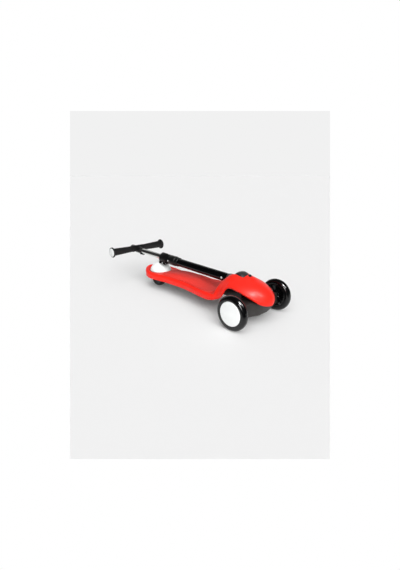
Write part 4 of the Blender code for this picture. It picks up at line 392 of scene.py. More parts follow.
def grid_faces(rows, count, wrap_rows=False, wrap_count=True):
    """Quads of a grid of rows by count points, closed along either way."""
    i = np.arange(rows if wrap_rows else rows - 1)[:, None]
    j = np.arange(count if wrap_count else count - 1)[None, :]
    a = i * count + j
    b = i * count + (j + 1) % count
    c = ((i + 1) % rows) * count + (j + 1) % count
    d = ((i + 1) % rows) * count + j
    return np.stack([a, b, c, d], -1).reshape(-1, 4).tolist()


def grid_piece(name, points, look, body, wrap_rows=False, caps=False, **more):
    """A grid of points (rows, count, 3) as a skin, closed round each row, and closed at its two
    ends by a flat face where caps is set."""
    rows, count = points.shape[:2]
    faces = grid_faces(rows, count, wrap_rows)
    if caps:
        faces += [list(range(count))[::-1], list(range((rows - 1) * count, rows * count))]
    return piece(name, points.reshape(-1, 3), faces, look, body, **more)


def fillet(profile, radius, steps=5, closed=False):
    """A polyline of (radius, along) points with each corner rounded: the arc is the quadratic
    curve from one side to the other whose middle point is the corner. A point may give its own
    radius as a third number, 0 to stay sharp."""
    points = [np.array(p[:2], float) for p in profile]
    radii = [p[2] if len(p) > 2 else radius for p in profile]
    out = []
    count = len(points)
    for i, here in enumerate(points):
        if not closed and i in (0, count - 1):
            out.append(here[None])
            continue
        back = points[i - 1] - here
        ahead = points[(i + 1) % count] - here
        reach = min(radii[i], 0.45 * np.linalg.norm(back), 0.45 * np.linalg.norm(ahead))
        if reach <= 0:
            out.append(here[None])
            continue
        start = here + back / np.linalg.norm(back) * reach
        end = here + ahead / np.linalg.norm(ahead) * reach
        t = np.linspace(0, 1, steps)[:, None]
        out.append((1 - t) ** 2 * start + 2 * t * (1 - t) * here + t * t * end)
    return np.concatenate(out)


def basis(axis):
    """Two unit vectors square to an axis."""
    axis = np.array(Vector(axis).normalized())
    side = np.array([0.0, 1.0, 0.0]) if abs(axis[1]) < 0.9 else np.array([1.0, 0.0, 0.0])
    first = side - axis * (side @ axis)
    first /= np.linalg.norm(first)
    return axis, first, np.cross(axis, first)


def revolve(profile, centre, axis, count=TURN, start=0.0):
    """Points of a profile of (radius, along) turned about an axis: centre + along times the axis
    + radius times (cosine, sine) of the turn in the plane across it."""
    axis, first, second = basis(axis)
    profile = np.asarray(profile, float)
    turn = start + np.linspace(0, 2 * math.pi, count, endpoint=False)
    ring = np.cos(turn)[:, None] * first + np.sin(turn)[:, None] * second
    return (np.array(centre) + profile[:, 1, None, None] * axis
            + profile[:, 0, None, None] * ring[None])


def turned(name, profile, centre, axis, look, body, count=TURN, closed=False, round_by=0.0004, **more):
    """A turned piece with its profile's corners rounded."""
    shape = fillet(profile, round_by, closed=closed)
    return grid_piece(name, revolve(shape, centre, axis, count), look, body, wrap_rows=closed, **more)


def box_points(low, high):
    """The eight corners of a box."""
    return np.array([(x, y, z) for x in (low[0], high[0]) for y in (low[1], high[1])
                     for z in (low[2], high[2])])


BOX_FACES = [[0, 1, 3, 2], [4, 6, 7, 5], [0, 4, 5, 1], [2, 3, 7, 6], [0, 2, 6, 4], [1, 5, 7, 3]]


def block(name, low, high, look=RED, matrix=None, chamfer=0.0, segments=3):
    """A box from corner to corner, with rounded edges where chamfer is set."""
    mesh = bpy.data.meshes.new(name)
    mesh.from_pydata(box_points(low, high).tolist(), [], BOX_FACES)
    if matrix is not None:
        mesh.transform(matrix)
    obj = bpy.data.objects.new(name, mesh)
    bpy.context.scene.collection.objects.link(obj)
    mesh.materials.append(look)
    clean(mesh, 35)
    if chamfer:
        bevel = obj.modifiers.new("Bevel", "BEVEL")
        bevel.width = chamfer
        bevel.segments = segments
        bake(obj)
    return obj


def bake(obj, sharp=35.0):
    """Modifiers become part of the mesh."""
    bpy.context.view_layer.update()
    graph = bpy.context.evaluated_depsgraph_get()
    mesh = bpy.data.meshes.new_from_object(obj.evaluated_get(graph))
    obj.modifiers.clear()
    old = obj.data
    obj.data = mesh
    bpy.data.meshes.remove(old)
    mesh.shade_smooth()
    mesh.set_sharp_from_angle(angle=math.radians(sharp))
    return obj


def combine(obj, others, operation="UNION", sharp=35.0):
    """Other solids are joined to the object, or cut out of it, and removed."""
    for other in others:
        made = obj.modifiers.new(other.name, "BOOLEAN")
        made.operation = operation
        made.object = other
        made.solver = "EXACT"
    bake(obj, sharp)
    for other in others:
        mesh = other.data
        bpy.data.objects.remove(other)
        bpy.data.meshes.remove(mesh)
    return obj


def rod(name, radius, start, end, look=NYLON, count=TURN_SMALL):
    """A plain round rod between two points."""
    start = Vector(start)
    axis = Vector(end) - start
    profile = [(0.0, 0.0), (radius, 0.0), (radius, axis.length), (0.0, axis.length)]
    return grid_piece(name, revolve(profile, start, axis, count, start=0.03), look, None)


# The red moulding: its plan outline, its lower edge and its upper skin

def smooth(t):
    """An S-curve from 0 to 1: three t squared less two t cubed."""
    t = np.clip(t, 0.0, 1.0)
    return t * t * (3 - 2 * t)


def between(x, start, end, low, high):
    """From low to high by the S-curve while x goes from start to end."""
    return low + (high - low) * smooth((x - start) / (end - start))


def bump(t):
    """A round hill of height 1 at 0 that ends at -1 and 1."""
    return np.clip(1 - np.square(t), 0.0, 1.0) ** 2


def curve_through(knots, x):
    """A curve through knots that never overshoots them: cubic pieces whose slope at a knot is
    the harmonic mean of the slopes beside it."""
    px, pz = (np.array(side, float) for side in zip(*knots))
    slopes = np.diff(pz) / np.diff(px)
    joint = np.where(slopes[1:] * slopes[:-1] > 0,
                     2 * slopes[1:] * slopes[:-1] / (slopes[1:] + slopes[:-1] + 1e-12), 0.0)
    tangent = np.concatenate([slopes[:1] * 0.0, joint, slopes[-1:]])
    i = np.clip(np.searchsorted(px, x) - 1, 0, len(px) - 2)
    run = px[i + 1] - px[i]
    t = np.clip((x - px[i]) / run, 0.0, 1.0)
    return (pz[i] * (1 + 2 * t) * (1 - t) ** 2 + tangent[i] * run * t * (1 - t) ** 2
            + pz[i + 1] * t * t * (3 - 2 * t) + tangent[i + 1] * run * t * t * (t - 1))


def edge_height(x):
    """Lower edge: level along the deck, up round the wheel arch, then down to the nose."""
    run = (x - ARCH_START) / (ARCH_TOP_START - ARCH_START)
    arch = EDGE_HEIGHT + (ARCH_TOP - EDGE_HEIGHT) * curve_through(ARCH_SHAPE, run)
    run = (x - ARCH_TOP_END) / (HOOD_NOSE - ARCH_TOP_END)
    nose = ARCH_TOP + (NOSE_EDGE - ARCH_TOP) * curve_through(NOSE_SHAPE, run)
    return np.where(x < ARCH_TOP_END, arch, nose)


def along_egg(x, inset=0.0):
    """Square of the share of the egg's half length that x lies from its middle."""
    length = np.where(x < HOOD_MID, HOOD_MID - HOOD_TAIL, HOOD_NOSE - HOOD_MID) - inset
    return ((x - HOOD_MID) / length) ** 2


def ridge_height(x, inset=0.0):
    """The egg's profile along the middle."""
    return HOOD_BASE + (HOOD_TOP - HOOD_BASE - inset) * np.sqrt(np.clip(1 - along_egg(x, inset), 0, 1))


def half_width(x, inset=0.0):
    """Round tail, waist, flare ahead of the standing pad, then the egg at its lower edge."""
    share = 1 - ((TAIL_MID - x) / (TAIL_LENGTH - inset)) ** 2
    tail = (TAIL_HALF_WIDTH - inset) * np.sqrt(np.clip(share, 0, 1))
    waist = between(x, TAIL_MID, WAIST_REAR, TAIL_HALF_WIDTH, WAIST_HALF_WIDTH) - inset
    flare = between(x, WAIST_FRONT, FLARE_MID, WAIST_HALF_WIDTH, FLARE_HALF_WIDTH) - inset
    up = (edge_height(x) - HOOD_BASE) / (HOOD_TOP - HOOD_BASE - inset)
    share = 1 - along_egg(x, inset) - np.clip(up, 0, 1) ** 2
    egg = (HOOD_HALF_WIDTH - inset) * np.sqrt(np.clip(share, 0, 1))
    deck = np.where(x < TAIL_MID, tail, np.where(x < WAIST_FRONT, waist, flare))
    return between(x, EGG_START, EGG_END, deck, egg)


def hood_share(x):
    """0 along the deck and 1 where the section is all hood."""
    return smooth((x - HOOD_TAIL + HULL_LEAD) / HULL_FADE)


def from_outline(x, y):
    """Distance in plan from the deck's outline, round the tail too."""
    back = np.maximum((TAIL_MID - x) / TAIL_LENGTH, 0.0)
    scale = TAIL_HALF_WIDTH + (TAIL_LENGTH - TAIL_HALF_WIDTH) * back ** 2
    tail = scale * (1 - np.sqrt(back ** 2 + np.square(y / TAIL_HALF_WIDTH)))
    return np.where(back > 0, tail, half_width(x) - y)


def cheek(x, y):
    """Bulge of the hood on each side of the column slot and the lip in front of it."""
    beside = bump((x - CHEEK_MID) / CHEEK_RUN) * bump((np.abs(y) - CHEEK_SIDE) / CHEEK_SPREAD)
    ahead = bump((x - COLLAR_MID) / COLLAR_RUN) * bump(y / COLLAR_SPREAD)
    return CHEEK_RISE * beside + COLLAR_RISE * ahead


def crown_rise(x, y, reach, inset=0.0):
    """Rise of the standing surface: an S-curve up and down along the deck, times one less the
    fourth power of the share of the way from its level strip out to its reach."""
    along = np.minimum(smooth((x - CROWN_BACK) / (CROWN_FULL - CROWN_BACK)),
                       smooth((CROWN_FRONT - x) / (CROWN_FRONT - CROWN_LEVEL_END)))
    if inset:
        along = along * smooth((x - SOLID_BACK) / SOLID_FADE)
    out = np.clip((y - CROWN_LEVEL_HALF) / np.maximum(reach - CROWN_LEVEL_HALF, SKIN), 0.0, 1.0)
    return CROWN_RISE * along * (1 - out ** CROWN_POWER)


def deck_sizes(x, inset=0.0):
    """Of the section at x: its edge, half width, share of hood, rim, shoulder and edge roll."""
    low = edge_height(x)
    width = np.maximum(half_width(x, inset), 0.0)
    hood = hood_share(x)
    rim = FLOOR_HEIGHT + RIM_RISE + TAIL_KICK * smooth((TAIL_MID - x) / TAIL_LENGTH)
    band = (rim - SIDE_ROLL - low) * (1 - hood) + HEM * hood
    shoulder = low + np.maximum(band, 0.001)
    roll = np.minimum((DECK_ROLL - inset) * (1 - hood) + HOOD_ROLL * hood, 0.5 * width)
    return low, width, hood, rim, shoulder, roll


def top_height(x, y, inset=0.0):
    """Height of the upper skin at x and at y from the middle: the crowned floor and its rim,
    which give way to the egg's arc and the cheeks along the hood's rear face: the S-curve of
    the way along it, which starts later by a lag that grows with the sixth power of y."""
    _, width, _, rim, shoulder, roll = deck_sizes(x, inset)
    inward = smooth((RIM_WIDTH - inset - from_outline(x, y)) / (RIM_WIDTH - DECK_ROLL))
    rise = crown_rise(x, y, width - roll, inset)
    deck = FLOOR_HEIGHT + np.maximum((rim - FLOOR_HEIGHT) * inward, rise) - inset
    ridge = np.maximum(ridge_height(x, inset), shoulder + 0.002)
    base = np.minimum(HOOD_BASE, shoulder)
    cut_off = 1 - ((shoulder - base) / (ridge - base)) ** 2
    arc = base + (ridge - base) * np.sqrt(1 - cut_off * (y / np.maximum(width, 1e-6)) ** 2)
    lag = HULL_LAG + HULL_WRAP * np.minimum((y / HULL_WRAP_HALF) ** 6, 1.0)
    face = smooth((x - HOOD_TAIL + HULL_LEAD - lag) / (HULL_FADE - lag))
    return deck + (arc + cheek(x, y) - deck) * face


def sections(x, inset=0.0, crown=CROWN, roll_steps=ROLL):
    """Half sections at the places x, as arrays of y and z with a row for each x, from the middle
    out: the upper skin, a quarter turn that rolls over its rim, and the side wall down to the
    edge. With an inset they are the sections of the room inside the moulding, which runs on
    below the edge."""
    x = np.asarray(x, float)[:, None]
    low, width, hood, rim, shoulder, roll = deck_sizes(x, inset)
    y = (width - roll) * np.sin(np.linspace(0, math.pi / 2, crown))[None]
    z = top_height(x, y, inset)
    turn = np.linspace(0, math.pi / 2, roll_steps + 1)[None, 1:]
    y_roll = width - roll + roll * np.sin(turn)
    z_roll = shoulder + (z[:, -1:] - shoulder) * np.cos(turn)
    end = low - (OPEN_BELOW if inset else 0.0)
    draft = WALL_DRAFT + (HEM_DRAFT - WALL_DRAFT) * hood * (inset == 0)
    fall = np.linspace(0, 1, 5)[None, 1:]
    y_wall = width - draft * np.minimum(width / RIM_WIDTH, 1.0) * fall
    z_wall = shoulder + (end - shoulder) * fall
    return np.concatenate([y, y_roll, y_wall], 1), np.concatenate([z, z_roll, z_wall], 1)


def deck_loft(name, inset=0.0, **counts):
    """The skin through the deck's sections, closer together round the tail and the nose."""
    quarter = np.linspace(TIP_ANGLE, math.pi / 2, 34)
    round_tail = TAIL_MID - (TAIL_LENGTH - inset) * np.cos(quarter)
    straight = np.linspace(TAIL_MID, ARCH_START, 44)[1:]
    arch = np.linspace(ARCH_START, HOOD_MID, 60)[1:]
    nose = HOOD_MID + (HOOD_NOSE - inset - HOOD_MID) * np.cos(quarter[-2::-1])
    x = np.concatenate([round_tail, straight, arch, nose])
    y, z = sections(x, inset, **counts)
    y = np.concatenate([y[:, ::-1], -y[:, 1:]], 1)
    z = np.concatenate([z[:, ::-1], z[:, 1:]], 1)
    points = np.stack([np.broadcast_to(FRONT_AXLE.x + x[:, None], y.shape), y, z], -1)
    return grid_piece(name, points, RED, None, caps=True)


def oval_prism(name, mid_x, half_long, half_wide, low, high, count=TURN):
    """An upright prism over an oval."""
    turn = (np.arange(count) + 0.5) * 2 * math.pi / count
    ring = np.stack([mid_x + half_long * np.cos(turn), half_wide * np.sin(turn)], -1)
    points = np.stack([np.concatenate([ring, np.full((count, 1), z)], 1) for z in (low, high)])
    return grid_piece(name, points, RED, None, caps=True)


def deck_moulding():
    """The hollow red deck with its hood: the outer loft less the room inside, with cross ribs
    and rails below the standing floor, and the openings for the dome, column and button."""
    shell = deck_loft("deck_moulding")
    x0 = FRONT_AXLE.x
    combine(shell, [deck_loft("room", SKIN, crown=30, roll_steps=6)], "DIFFERENCE")
    opening = oval_prism("dome_opening", x0 + DOME_MID, DOME_HALF_LENGTH + RUNNING_GAP,
                         DOME_HALF_WIDTH + RUNNING_GAP, 0.02, 0.13)
    slot = block("column_slot", (x0 + SLOT_BACK, -SLOT_HALF_WIDTH, SLOT_FLOOR),
                 (x0 + SLOT_FRONT, SLOT_HALF_WIDTH, SLOT_FLOOR + 0.09), chamfer=0.008, segments=8)
    button = rod("button_hole", BUTTON_RADIUS + RUNNING_GAP / 2, (x0 + BUTTON_X, 0, HOOD_TOP - 0.03),
                 (x0 + BUTTON_X, 0, HOOD_TOP + 0.03))
    combine(shell, [opening, slot, button], "DIFFERENCE")
    combine(shell, [deck_ribs()])
    settle(shell, "deck", ["deck_shell"])


def deck_ribs():
    """Cross ribs and two rails, trimmed to end half way into the moulding's skin."""
    top = FLOOR_HEIGHT + CROWN_RISE
    x0 = FRONT_AXLE.x
    bars = []
    for side in (-1, 1):
        y = side * WAIST_HALF_WIDTH / 2
        bars.append(block(f"rail_{side}", (x0 + RAIL_BACK, y - RIB_WALL / 2, FLOOR_HEIGHT - RAIL_DEPTH),
                          (x0 + RAIL_FRONT, y + RIB_WALL / 2, top)))
    for i, x in enumerate(np.arange(RIB_START, RIB_END, RIB_PITCH)):
        low = (x0 + x - RIB_WALL / 2, -FLARE_HALF_WIDTH, FLOOR_HEIGHT - RIB_DEPTH)
        bars.append(block(f"rib_{i}", low, (x0 + x + RIB_WALL / 2, FLARE_HALF_WIDTH, top)))
    ribs = combine(bars[0], bars[1:])
    return combine(ribs, [deck_loft("rib_ends", SKIN / 2, crown=30, roll_steps=6)], "INTERSECT")


def footboard():
    """The standing pad: at each x a row across it that follows the crowned skin below and its
    own thickness above, as wide as the deck less a margin, and closed by a superellipse at the
    front and a full curve at the back. Its edge rounds over as a quarter circle."""
    back = PAD_BACK + PAD_BACK_ROUND
    front = PAD_FRONT - PAD_FRONT_ROUND
    ahead = np.linspace(0, math.pi / 2, 22)[1:]
    behind = np.linspace(math.pi / 2, 0, 22)[:-1]
    side = np.linspace(back, front, 70)
    wide = half_width(side) - PAD_MARGIN
    full = 2 / PAD_FRONT_FULL
    x = np.concatenate([back - PAD_BACK_ROUND * np.sin(behind), side,
                        front + PAD_FRONT_ROUND * np.sin(ahead) ** full])
    w = np.concatenate([wide[0] * np.cos(behind) ** 0.5, wide,
                        wide[-1] * np.abs(np.cos(ahead)) ** full])
    w = np.maximum(w, 0.00002)[:, None]
    x = x[:, None]
    lip = np.minimum(PAD_EDGE, 0.5 * w)
    turn = np.linspace(0, math.pi / 2, 5)[None]
    share = np.sin(np.linspace(-math.pi / 2, math.pi / 2, 48))[None, 1:-1]
    y = np.concatenate([-w + lip * (1 - np.cos(turn)), (w - lip) * share,
                        w - lip * (1 - np.cos(turn[:, ::-1]))], 1)
    rise = np.concatenate([np.sin(turn[0]), np.ones(share.shape[1]), np.sin(turn[0, ::-1])])
    low = top_height(x, np.abs(y)) + SEAT_GAP
    high = low + (PAD_THICKNESS - PAD_EDGE) + PAD_EDGE * rise
    y = np.concatenate([y, y[:, ::-1]], 1)
    z = np.concatenate([high, low[:, ::-1]], 1)
    points = np.stack([np.broadcast_to(FRONT_AXLE.x + x, y.shape), y, z], -1)
    grid_piece("standing_pad", points, PAD, "deck", caps=True, slot="red_textured_pad",
               replaces=["footboard_pad"])


def brake_dome():
    """The white dome: ovals whose share of the base at a share h of the height is
    (1 - h^bulge)^(1/round), outside from the top down and inside back up, as one closed skin."""
    h = np.sin(np.linspace(0, math.pi / 2, 40))[::-1]
    share = (1 - h ** DOME_BULGE) ** (1 / DOME_ROUND)
    outer_z = DOME_BASE + (DOME_TOP - DOME_BASE) * h
    inner_z = DOME_BASE + (DOME_TOP - DOME_WALL - DOME_BASE) * h
    turn = np.linspace(0, 2 * math.pi, TURN, endpoint=False)
    ring = np.stack([np.cos(turn), np.sin(turn)], -1)
    size = np.array([DOME_HALF_LENGTH, DOME_HALF_WIDTH])
    hem = DOME_BASE - DOME_SKIRT
    rows = []
    for sizes, shares, heights in (
            (size, share, outer_z), (size, [1.0, 0.995], [hem + 0.0003, hem]),
            (size - DOME_WALL, [1.005, 1.0], [hem, hem + 0.0003]),
            (size - DOME_WALL, share[::-1], inner_z[::-1])):
        for s, z in zip(shares, heights):
            rows.append(np.concatenate([ring * sizes * s, np.full((TURN, 1), z)], 1))
    points = np.array(rows) + np.array([FRONT_AXLE.x + DOME_MID, 0, 0])
    dome = grid_piece("fender_dome", points, WHITE, None, sharp=50)
    x, z = FRONT_AXLE.x, DOME_BASE
    post = block("shoe_post", (x + POST_BACK, -POST_HALF_WIDTH, POST_LOW),
                 (x + POST_FRONT, POST_HALF_WIDTH, DOME_TOP - 1.9 * DOME_WALL), WHITE)
    arms = [block(f"arm_{side}",
                  (x + BRAKE_ARM_BACK, side * BRAKE_ARM_SIDE - BRAKE_ARM_HALF, BRAKE_ARM_LOW),
                  (x + BRAKE_ARM_FRONT, side * BRAKE_ARM_SIDE + BRAKE_ARM_HALF, z + 0.0035),
                  WHITE, chamfer=0.0006) for side in (-1, 1)]
    bridge = block("bridge", (x + BRIDGE_BACK, -BRIDGE_HALF_WIDTH, z + 0.001),
                   (x + BRIDGE_FRONT, BRIDGE_HALF_WIDTH, z + 0.004), WHITE)
    combine(dome, [post, *arms, bridge])
    pin = rod("pin_bore", PIN_BORE_RADIUS, (x + PIN_BORE_AT, -0.04, PIN_BORE_HEIGHT),
              (x + PIN_BORE_AT, 0.04, PIN_BORE_HEIGHT))
    combine(dome, [pin], "DIFFERENCE", sharp=45)
    settle(dome, "brake", ["brake_fender"])


# Wheels

def tyre(name, radius, width, depth, drop, centre, axis, body, node):
    """A cast tyre: its tread is a full arch, a superellipse from side to side, over a flat
    seat."""
    turn = np.linspace(math.pi / 2, -math.pi / 2, 49)
    along = 0.5 * width * np.sign(np.sin(turn)) * np.abs(np.sin(turn)) ** TREAD_SQUARENESS
    lift = np.abs(np.cos(turn)) ** TREAD_FULLNESS
    tread = radius - drop * (1 - lift)
    seat = radius - depth
    profile = np.concatenate([np.stack([tread, along], 1), [[seat, -width / 2], [seat, width / 2]]])
    inside = np.concatenate([profile[48:], profile[:1]])
    shape = np.concatenate([profile[:-2], fillet(inside, 0.0005)[1:-1]])
    return grid_piece(name, revolve(shape, centre, axis, 2 * TURN), URETHANE, body,
                      wrap_rows=True, sharp=50, slot="black_urethane_tyre", replaces=[node])


def spoke_points(length, thick, deep, taper=SPOKE_FLARE):
    """A spoke: a bar that is lowest at its middle and flares into hub and rim by the cube of the
    way out from its middle, with a round back."""
    u = np.linspace(-1, 1, 13)[:, None]
    turn = np.linspace(0, 2 * math.pi, 16, endpoint=False)[None]
    flare = 1.0 + taper * np.abs(u) ** 3
    y = 0.5 * thick * flare * np.sign(np.cos(turn)) * np.abs(np.cos(turn)) ** 0.5
    dip = 1.0 - SPOKE_DIP * (1 - u ** 2)
    z = 0.5 * deep * np.sign(np.sin(turn)) * np.abs(np.sin(turn)) ** 0.5
    z = np.where(z < 0, z * (2 * dip - 1), z)
    x = np.broadcast_to(0.5 * length * u, y.shape)
    return np.stack([x, y, z], -1)


def front_wheel(side, label):
    """Tyre, spoked core and white cap. Places along the axle run outwards from the middle."""
    body = f"front_wheel_{label}"
    out = np.array([0.0, side, 0.0])
    centre = np.array(FRONT_AXLE) + out * TRACK / 2
    half = FRONT_WHEEL_WIDTH / 2
    tyre(f"cast_tyre_{label}", FRONT_WHEEL_RADIUS, FRONT_WHEEL_WIDTH, FRONT_TYRE_DEPTH, SHOULDER_DROP,
         centre, out, body, f"tyre_{label}")
    rim = FRONT_WHEEL_RADIUS - FRONT_TYRE_DEPTH - SEAT_GAP
    rim_inner = rim - 0.0040
    seat = BEARING_RADIUS + SEAT_GAP
    bore = seat - 0.0022
    hub_face = half - 0.0070
    outer_seat = hub_face - BEARING_WIDTH - SEAT_GAP
    inner_seat = -half + BEARING_WIDTH + SEAT_GAP
    web_face = -half + POCKET_DEPTH
    profile = [(rim, half - CAP_SEAT), (rim, -half + 0.0015), (rim_inner, -half + 0.0005),
               (rim_inner, web_face, 0.002), (HUB_RADIUS, web_face, 0.002), (HUB_RADIUS, -half),
               (seat, -half), (seat, inner_seat), (bore, inner_seat), (bore, outer_seat),
               (seat, outer_seat), (seat, hub_face), (HUB_RADIUS, hub_face),
               (HUB_RADIUS, web_face + WEB, 0.0015), (rim_inner, web_face + WEB, 0.0015),
               (rim_inner, half - CAP_SEAT)]
    core = turned(f"spoked_core_{label}", profile, centre, out, CORE, None, closed=True, count=120)
    axis, first, second = basis(out)
    length = rim_inner - HUB_RADIUS + 0.003
    deep = POCKET_DEPTH + 0.0012
    bars = []
    for i in range(SPOKE_COUNT):
        angle = 2 * math.pi * (i + 0.5) / SPOKE_COUNT
        radial = math.cos(angle) * first + math.sin(angle) * second
        across = np.cross(axis, radial)
        local = spoke_points(length, SPOKE_THICK, deep)
        origin = centre + axis * (-half + 0.0009 + deep / 2) + radial * (rim_inner + HUB_RADIUS) / 2
        points = origin + local[..., :1] * radial + local[..., 1:2] * across + local[..., 2:] * axis
        bars.append(grid_piece(f"spoke_{label}_{i}", points, CORE, None, caps=True))
    combine(core, bars)
    settle(core, body, [f"core_{label}"])
    lip = half - CAP_SEAT + SEAT_GAP
    face = half + 0.0006
    edge = rim - SEAT_GAP
    r = np.linspace(0, edge - 0.0030, 26)
    crown = face + 0.0004 + CAP_CROWN * (1 - (r / (edge - 0.0030)) ** 2)
    groove = [(edge - 0.0026, face + 0.0001), (edge - 0.0021, face + 0.0003),
              (edge - 0.0008, face - 0.0002), (edge, face - 0.0012), (edge, lip),
              (edge - 0.0030, lip), (edge - 0.0034, face - CAP_THICKNESS)]
    profile = ([(a, b, 0.0) for a, b in zip(r, crown)] + groove
               + [(0.0, face + CAP_CROWN - CAP_THICKNESS)])
    turned(f"wheel_cap_{label}", profile, centre, out, CAP, body, count=120, slot="white_plastic",
           replaces=[f"hub_cap_{label}"])


# Column

def col(along, y=0.0, z=0.0):
    """A point measured along the folded column from the hinge, and off its axis."""
    w = z - COLUMN_DROP
    c, s = math.cos(FOLD_SLOPE), math.sin(FOLD_SLOPE)
    return Vector((HINGE.x - along * c + w * s, y, HINGE.z + along * s + w * c))


COLUMN = Vector((-math.cos(FOLD_SLOPE), 0.0, math.sin(FOLD_SLOPE)))


def column_tube(name, radius, wall, start, end, look, body, slot, node):
    """A tube along the column, between two places measured from the hinge."""
    profile = [(radius, start), (radius, end), (radius - wall, end), (radius - wall, start)]
    return turned(name, profile, col(0), COLUMN, look, body, closed=True, slot=slot, replaces=[node])


def bar_point(y=0.0):
    """A point on the handlebar's axis."""
    return col(HANDLEBAR_AT, y, HANDLEBAR_OFFSET)


def grip(side, label):
    """Rubber grip that swells outwards to a guard flange, with fine rings, and its white cap."""
    out = (0, side, 0)
    bore = BAR_RADIUS + SEAT_GAP
    end = GRIP_START + GRIP_LENGTH
    flange = end - FLANGE_WIDTH
    t = np.linspace(0, 1, 90)
    along = GRIP_START + 0.002 + (flange - 0.005 - GRIP_START - 0.002) * t
    swell = GRIP_INNER_RADIUS + (GRIP_OUTER_RADIUS - GRIP_INNER_RADIUS) * t
    ribs = 0.00012 * np.cos(2 * math.pi * along / 0.0036)
    body = [(a + b, c, 0.0) for a, b, c in zip(swell, ribs, along)]
    profile = ([(bore, GRIP_START), (GRIP_INNER_RADIUS - 0.0004, GRIP_START, 0.0008)] + body
               + [(GRIP_OUTER_RADIUS + 0.0004, flange - 0.0022, 0.002),
                  (FLANGE_RADIUS - 0.0010, flange, 0.0015),
                  (FLANGE_RADIUS, flange + 0.0015, 0.0015), (FLANGE_RADIUS, end - 0.0015, 0.0015),
                  (FLANGE_RADIUS - 0.0015, end, 0.0008), (bore, end)])
    turned(f"hand_grip_{label}", profile, bar_point(), out, GRIP, "steerer", closed=True,
           slot="black_rubber", replaces=[f"grip_{label}"])
    seat = end + SEAT_GAP
    r = np.linspace(0, END_CAP_RADIUS, 20)
    crown = seat + 0.0006 + END_CAP_CROWN * (1 - (r / END_CAP_RADIUS) ** 2.4)
    profile = ([(a, b, 0.0) for a, b in zip(r, crown)]
               + [(END_CAP_RADIUS, seat), (PLUG_RADIUS, seat), (PLUG_RADIUS, seat - PLUG_LENGTH),
                  (0.0, seat - PLUG_LENGTH)])
    turned(f"bar_end_cap_{label}", profile, bar_point(), out, END_CAP, "steerer", slot="white_plastic",
           replaces=[f"end_cap_{label}"])


def rounded(name, width, look, body):
    """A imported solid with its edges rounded: a copy is merged, its flat faces are made whole, and
    every edge sharper than 30 degrees gets a small radius."""
    mesh = frame["nodes"][name].data.copy()
    mesh.materials.clear()
    mesh.materials.append(look)
    bm = bmesh.new()
    bm.from_mesh(mesh)
    bmesh.ops.remove_doubles(bm, verts=bm.verts, dist=0.00002)
    bmesh.ops.dissolve_limit(bm, angle_limit=math.radians(0.6), verts=bm.verts, edges=bm.edges)
    bmesh.ops.recalc_face_normals(bm, faces=bm.faces)
    bm.to_mesh(mesh)
    bm.free()
    obj = bpy.data.objects.new(f"{name}_rounded", mesh)
    bpy.context.scene.collection.objects.link(obj)
    bevel = obj.modifiers.new("Bevel", "BEVEL")
    bevel.width = width
    bevel.segments = 3
    bevel.limit_method = "ANGLE"
    bevel.angle_limit = math.radians(30)
    bake(obj)
    settle(obj, body, [name])


def dress_nodes():
    """Finishes of the solids that stay as they are."""
    looks = {"black_plastic": NYLON, "gloss_black_paint": PAINT, "black_urethane_tyre": URETHANE,
             "chrome_plate": CHROME, "zinc_plated_steel": ZINC, "black_rubber": RUBBER,
             "red_moulded_plastic": RED, "red_textured_pad": PAD, "white_plastic": WHITE}
    special = {"rear_core": CORE, "knuckle": KNOB}
    for name, node in frame["nodes"].items():
        node.data.materials.clear()
        node.data.materials.append(special.get(name, looks[SLOTS[name]]))


# The photograph's viewpoint
VIEW_AZIMUTH = math.radians(45.01)
VIEW_ELEVATION = math.radians(18.43)
VIEW_DISTANCE = 1.569
VIEW_TARGET = Vector((-0.405 + FRONT_AXLE.x, 0.131, 0.0))
FOCAL_PIXELS = 342.29


def view_frame():
    """The camera's place and its right, up and backward directions."""
    a, e = VIEW_AZIMUTH, VIEW_ELEVATION
    back = Vector((math.sin(a) * math.cos(e), -math.cos(a) * math.cos(e), math.sin(e)))
    right = Vector((math.cos(a), math.sin(a), 0.0))
    return VIEW_TARGET + VIEW_DISTANCE * back, right, back.cross(right), back


# Studio

FLOOR_COLOUR = "#F7F7F7"
CARD_COLOUR = "#F1F1F1"
SHEET_IN_PICTURE = (70, 330, 111, 459)   # left, right, top and bottom of the sheet and card
SHEET_END = 176                          # where the sheet meets the card, in pixels down
FLOOR_DROP = -0.0005
FLOOR_HALF = 60
AMBIENT = 0.07
ROOM_COLOUR = "#161616"
# The oval in which gloss sees a pale sheet, and the shares of it over which that fades
SHEET_MID = -0.02
SHEET_HALF_LENGTH = 0.68
SHEET_HALF_WIDTH = 0.38
SHEET_FROM = 0.88
SHEET_TO = 1.15
# The wall that gloss sees: its bearing, and the cosines from it over which it fades
GLOSS_BEARING = 135
GLOSS_FROM = 0.40
GLOSS_TO = 0.75
GLOSS_LOW = 0.04
GLOSS_HIGH = 0.75
GLOSS_LEVEL = 0.45             # sine of the height at which the wall begins to darken
GLOSS_TOP = 0.70
# Broad lamps: bearing of the light in degrees, its height, its spread and its share of the
# light that falls on the floor
LAMPS = (("key", 312, 42, 80, 0.51), ("low_key", 332, 25, 40, 0.23), ("overhead", 120, 75, 80, 0.14))


PIXELS_ACROSS = 400
PIXELS_DOWN = 570


def flat(name, points, look):
    """A flat stage piece through its corners."""
    mesh = bpy.data.meshes.new(name)
    mesh.from_pydata([tuple(p) for p in points], [], [tuple(range(len(points)))])
    mesh.materials.append(look)
    obj = bpy.data.objects.new(name, mesh)
    bpy.context.scene.collection.objects.link(obj)
    return obj


